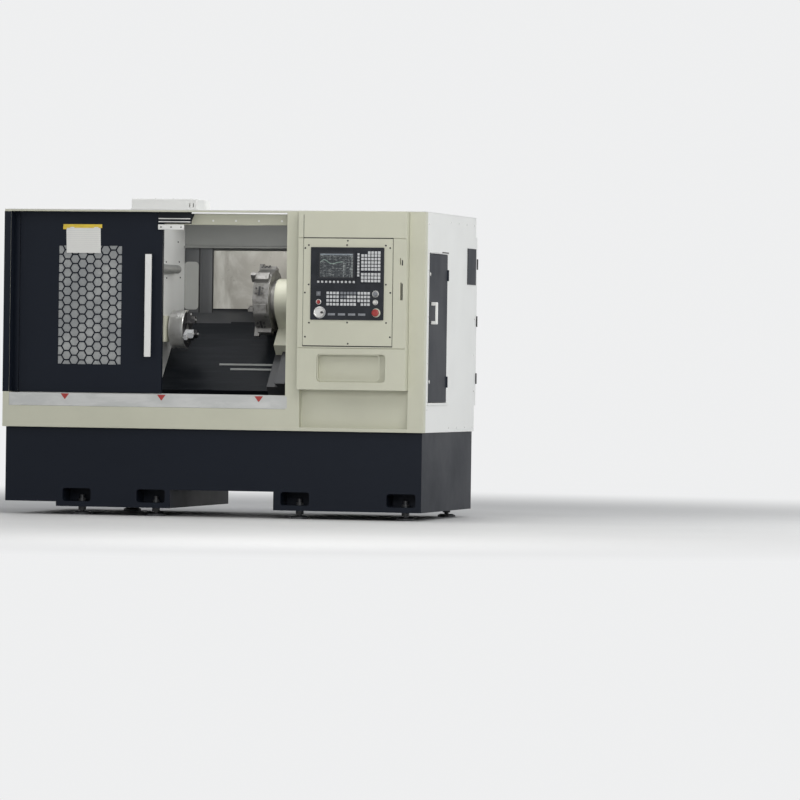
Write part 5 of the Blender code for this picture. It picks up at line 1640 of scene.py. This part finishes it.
class LATHE_OT_seams(Piece, bpy.types.Operator):
    """Draw the control door's seams, the housing's slots and the left post's cover"""
    bl_idname = "lathe.seams"
    bl_label = "Seams, slots and post cover"

    SEAM = 0.0026
    SEAM_TOP = 1.6400
    SLOTS = ((1.371, 1.401), (1.185, 1.275))  # the bottom and the top of each
    POST_TOP = 1.6500
    POST_WIDTH = 0.0372
    POCKET = ((0.591, 0.935), (0.751, 0.892))  # X and Z of the rim round the hand pocket
    RIM = 0.0035

    def execute(self, context):
        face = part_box("control_housing")[LOW].y
        self.door_seams(face - 0.0006, face + 0.0004)
        bm = bmesh.new()
        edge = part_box("control_housing")[HIGH].x
        for z in self.SLOTS:
            slot = round_box((edge - 0.0245, edge - 0.0185), z, 0.0029)
            prism(bm, slot, face - 0.0008, face + 0.0004)
        piece("housing_slots", bm, "machine", "shadow_gap")
        self.post_cover()
        self.pocket_rim(face)
        return {"FINISHED"}

    def door_seams(self, front, back):
        low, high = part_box("control_plate")
        x, z = (low.x - self.SEAM, high.x + self.SEAM), (low.z - self.SEAM, high.z + self.SEAM)
        bm = bmesh.new()
        frame_bars(bm, x, z, self.SEAM, front, back, 0.0002)
        for bottom in (z[0] - 0.0030, z[1]):
            bar(bm, (x[0], front, bottom), (x[1], back, bottom + 0.0030), 0.0002)
        bar(bm, (x[0], front, z[1]), (low.x, back, self.SEAM_TOP), 0.0002)
        piece("door_seams", bm, "machine", "shadow_gap")

    def post_cover(self):
        """Four thin sheets: the post's front, its outer side, its inner side and the step."""
        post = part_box("front_frame")[LOW].x
        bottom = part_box("sill")[HIGH].z + 0.0005
        front, step = FRONT - 0.0012, FRONT + 0.0620
        inner = post + self.POST_WIDTH
        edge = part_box("door")[LOW].x - 0.0020
        bm = bmesh.new()
        for near, far, back, start, bevel in (
            (post - 0.0006, post + 0.0360, FRONT - GAP, front, 0.0005),
            (post - 0.0012, post - GAP, FRONT + 0.0480, front, 0.0004),
            (inner, inner + 0.0014, step, front, 0.0004),
            (inner, edge, step, FRONT + 0.0600, 0.0004),
        ):
            bar(bm, (near, start, bottom), (far, back, self.POST_TOP), bevel)
        piece("post_cover", bm, "machine", "navy_paint")

    def pocket_rim(self, face):
        x, z = self.POCKET
        outer = round_box(x, z, 0.020)
        inner = round_box(
            (x[0] + self.RIM, x[1] - self.RIM), (z[0] + self.RIM, z[1] - self.RIM), 0.017
        )
        back, front = face - PROUD, face - 0.0022
        bm = bmesh.new()
        loops = [
            [bm.verts.new((a, y, b)) for a, b in outline]
            for outline, y in ((outer, back), (outer, front), (inner, front), (inner, back))
        ]
        for first, second in zip(loops, loops[1:] + loops[:1]):
            for n in range(len(outer)):
                m = (n + 1) % len(outer)
                bm.faces.new((first[n], first[m], second[m], second[n]))
        bmesh.ops.recalc_face_normals(bm, faces=bm.faces)
        piece("pocket_rim", bm, "machine", "cream_paint")


class LATHE_OT_sides(Piece, bpy.types.Operator):
    """Dress the right side, the left side, the rear, the roof and the feet"""
    bl_idname = "lathe.sides"
    bl_label = "Sides, rear and feet"

    TRIM = 0.0075  # between the service door and its trim
    REAR_WINDOW = ((FRONT + 0.990, FRONT + 1.190), (1.290, 1.490))  # Y and Z
    LOCK = [(0.0, 0.0016), (0.0090, 0.0016), (0.0105, 0.0004), (0.0105, 0.0)]
    ACCESS = ((FRONT + 0.330, FRONT + 0.930), (0.640, 1.400))  # Y and Z of the left cover
    HINGES = (0.74, 1.06, 1.38)
    HINGE = [(0.0, 0.060), (0.0036, 0.0595), (0.0040, 0.0570), (0.0040, 0.0), (0.0, 0.0)]
    ROOF_COVERS = (  # left, front, right, back
        (0.560, FRONT + 0.16, 1.080, FRONT + 0.66), (-1.12, FRONT + 0.42, -0.56, FRONT + 1.02),
    )
    NUT = [
        (0.0, 0.0440), (0.0175, 0.0440), (0.0190, 0.0425), (0.0190, 0.0325), (0.0175, 0.0310),
        (0.0, 0.0310),
    ]

    def execute(self, context):
        self.right_side()
        self.left_side()
        self.cabinet()
        self.rear()
        self.roof()
        self.feet()
        return {"FINISHED"}

    def right_side(self):
        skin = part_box("right_side_panel")[HIGH].x
        low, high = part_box("service_door")
        near, far = low.y - self.TRIM, high.y + 0.0110
        bottom, top = low.z - self.TRIM, high.z + self.TRIM
        start, back = near - 0.006, skin + PROUD
        bm = bmesh.new()
        bar(bm, (back, start, top), (skin + 0.0050, far + 0.006, top + 0.0100), 0.0010)
        bar(bm, (back, start, bottom - 0.010), (skin + 0.0050, far + 0.006, bottom), 0.0010)
        bar(bm, (back, start, bottom), (skin + 0.0030, near, top), 0.0008)
        piece("service_trim", bm, "machine", "white_paint")
        bm = bmesh.new()
        corner = (skin + 0.0046, far - 0.170, top + 0.0020)
        bar(bm, corner, (skin + 0.0056, far - 0.020, top + 0.0078), 0.0004)
        piece("trim_slot", bm, "machine", "shadow_gap")
        y, z = self.REAR_WINDOW
        bm = bmesh.new()
        outline = [(y[0], z[0]), (y[1], z[0]), (y[1], z[1]), (y[0], z[1])]
        prism(bm, outline, skin + 0.0004, skin + 0.0040, "X")
        piece("rear_window", bm, "machine", "navy_paint")
        bm = bmesh.new()
        y = low.y + 0.030
        for z in (low.z + 0.110, high.z - 0.110):
            lathe(bm, self.LOCK, (skin, y, z), "X", 24)
            near, far = (skin + 0.0010, y - 0.0015), (skin + 0.0022, y + 0.0015)
            bar(bm, (*near, z - 0.0065), (*far, z + 0.0065), 0.0003)
        piece("service_locks", bm, "service_door", "bright_steel")

    def left_side(self):
        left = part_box("left_side_panel")[LOW].x
        face = left - 0.0022
        y, z = self.ACCESS
        bm = bmesh.new()
        bar(bm, (face, y[0], z[0]), (left - PROUD, y[1], z[1]), 0.0010)
        heights = [1.20 + 0.018 * n for n in range(9)]
        spans = [(y[0] + 0.150, y[1] - 0.150)]
        louvres(bm, left - 0.0020, -0.0070, 0.003, 0.0110, heights, spans, "Y")
        piece("left_access", bm, "machine", "white_paint")
        places = [(d, h) for d in (0.345, 0.630, 0.915) for h in (z[0] + 0.015, z[1] - 0.015)]
        spots = [((face, FRONT + depth, height), LEFTWARD) for depth, height in places]
        pan = pattern_of("pan_head", pan_head)
        scatter("access_screws", spots, pan, 0.010, "machine", "bright_steel")

    def cabinet(self):
        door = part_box("cabinet_door")
        back, x = door[HIGH].y, door[LOW].x + 0.060
        bm = bmesh.new()
        bar(bm, (x, back + PROUD, 1.060), (x + 0.030, back + 0.0080, 1.150), 0.0020)
        bar(bm, (x + 0.008, back + 0.0070, 1.075), (x + 0.022, back + 0.0140, 1.135), 0.0025)
        piece("cabinet_latch", bm, "cabinet_door", "dark_steel")
        bm = bmesh.new()
        heights = [0.700 + 0.016 * n for n in range(10)]
        spans = ((0.45, 0.65), (0.75, 0.95))
        louvres(bm, back + PROUD, 0.0068, 0.002, 0.0100, heights, spans, "X")
        piece("cabinet_louvres", bm, "cabinet_door", "white_paint")
        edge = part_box("cabinet")[HIGH].x
        bm = bmesh.new()
        for z in self.HINGES:
            lathe(bm, self.HINGE, (edge + 0.0045, back - 0.011, z), "Z", 16)
        piece("cabinet_hinges", bm, "cabinet_door", "dark_steel")

    def rear(self):
        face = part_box("rear_panel")[HIGH].y + PROUD
        bm = bmesh.new()
        frame_bars(bm, (-1.00, -0.20), (0.62, 1.42), 0.012, face, face + 0.0033, 0.0008)
        heights = [1.10 + 0.020 * n for n in range(12)]
        louvres(bm, face, 0.0078, 0.003, 0.0120, heights, [(-0.85, -0.35)], "X")
        piece("rear_cover", bm, "machine", "white_paint")

    def roof(self):
        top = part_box("roof")[HIGH].z
        bm = bmesh.new()
        for left, front, right, back in self.ROOF_COVERS:
            bar(bm, (left, front, top + PROUD), (right, back, top + 0.0024), 0.0010)
        piece("roof_covers", bm, "machine", "white_paint")

    def feet(self):
        for name in (node for node in frame["nodes"] if node.startswith("levelling_foot")):
            low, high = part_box(name)
            bm = bmesh.new()
            lathe(bm, self.NUT, ((low.x + high.x) / 2, (low.y + high.y) / 2, 0.0), "Z", 6)
            piece(name + "_nut", bm, "machine", "bright_steel")


OPERATORS = (
    LATHE_OT_stage, LATHE_OT_panels, LATHE_OT_sill, LATHE_OT_screws, LATHE_OT_display,
    LATHE_OT_controls, LATHE_OT_door_sheet, LATHE_OT_hood, LATHE_OT_interior, LATHE_OT_chuck,
    LATHE_OT_turret, LATHE_OT_seams, LATHE_OT_sides,
)


class LATHE_PT_dressing(bpy.types.Panel):
    """Lists the pieces in the order in which they are made"""
    bl_idname = "LATHE_PT_dressing"
    bl_label = "Lathe"
    bl_space_type = "VIEW_3D"
    bl_region_type = "UI"
    bl_category = "Lathe"

    def draw(self, context):
        looks = self.layout.box()
        for name in ("cream", "white", "navy", "screw_size", "mark_width", "mark_pitch"):
            looks.prop(context.scene.lathe_looks, name)
        stage = self.layout.box()
        for name in ("distance", "bearing", "height", "yaw", "dip", "roll", "lens"):
            stage.prop(context.scene.lathe_stage, name)
        for kind in OPERATORS:
            self.layout.operator(kind.bl_idname)


CLASSES = (LatheLooks, LatheStage, *OPERATORS, LATHE_PT_dressing)


def register():
    for kind in CLASSES:
        bpy.utils.register_class(kind)
    bpy.types.Scene.lathe_looks = PointerProperty(type=LatheLooks)
    bpy.types.Scene.lathe_stage = PointerProperty(type=LatheStage)


def unregister():
    del bpy.types.Scene.lathe_looks
    del bpy.types.Scene.lathe_stage
    for kind in reversed(CLASSES):
        bpy.utils.unregister_class(kind)


def main():
    register()
    for kind in OPERATORS:
        family, name = kind.bl_idname.split(".")
        getattr(getattr(bpy.ops, family), name)()


if __name__ == "__main__":
    main()
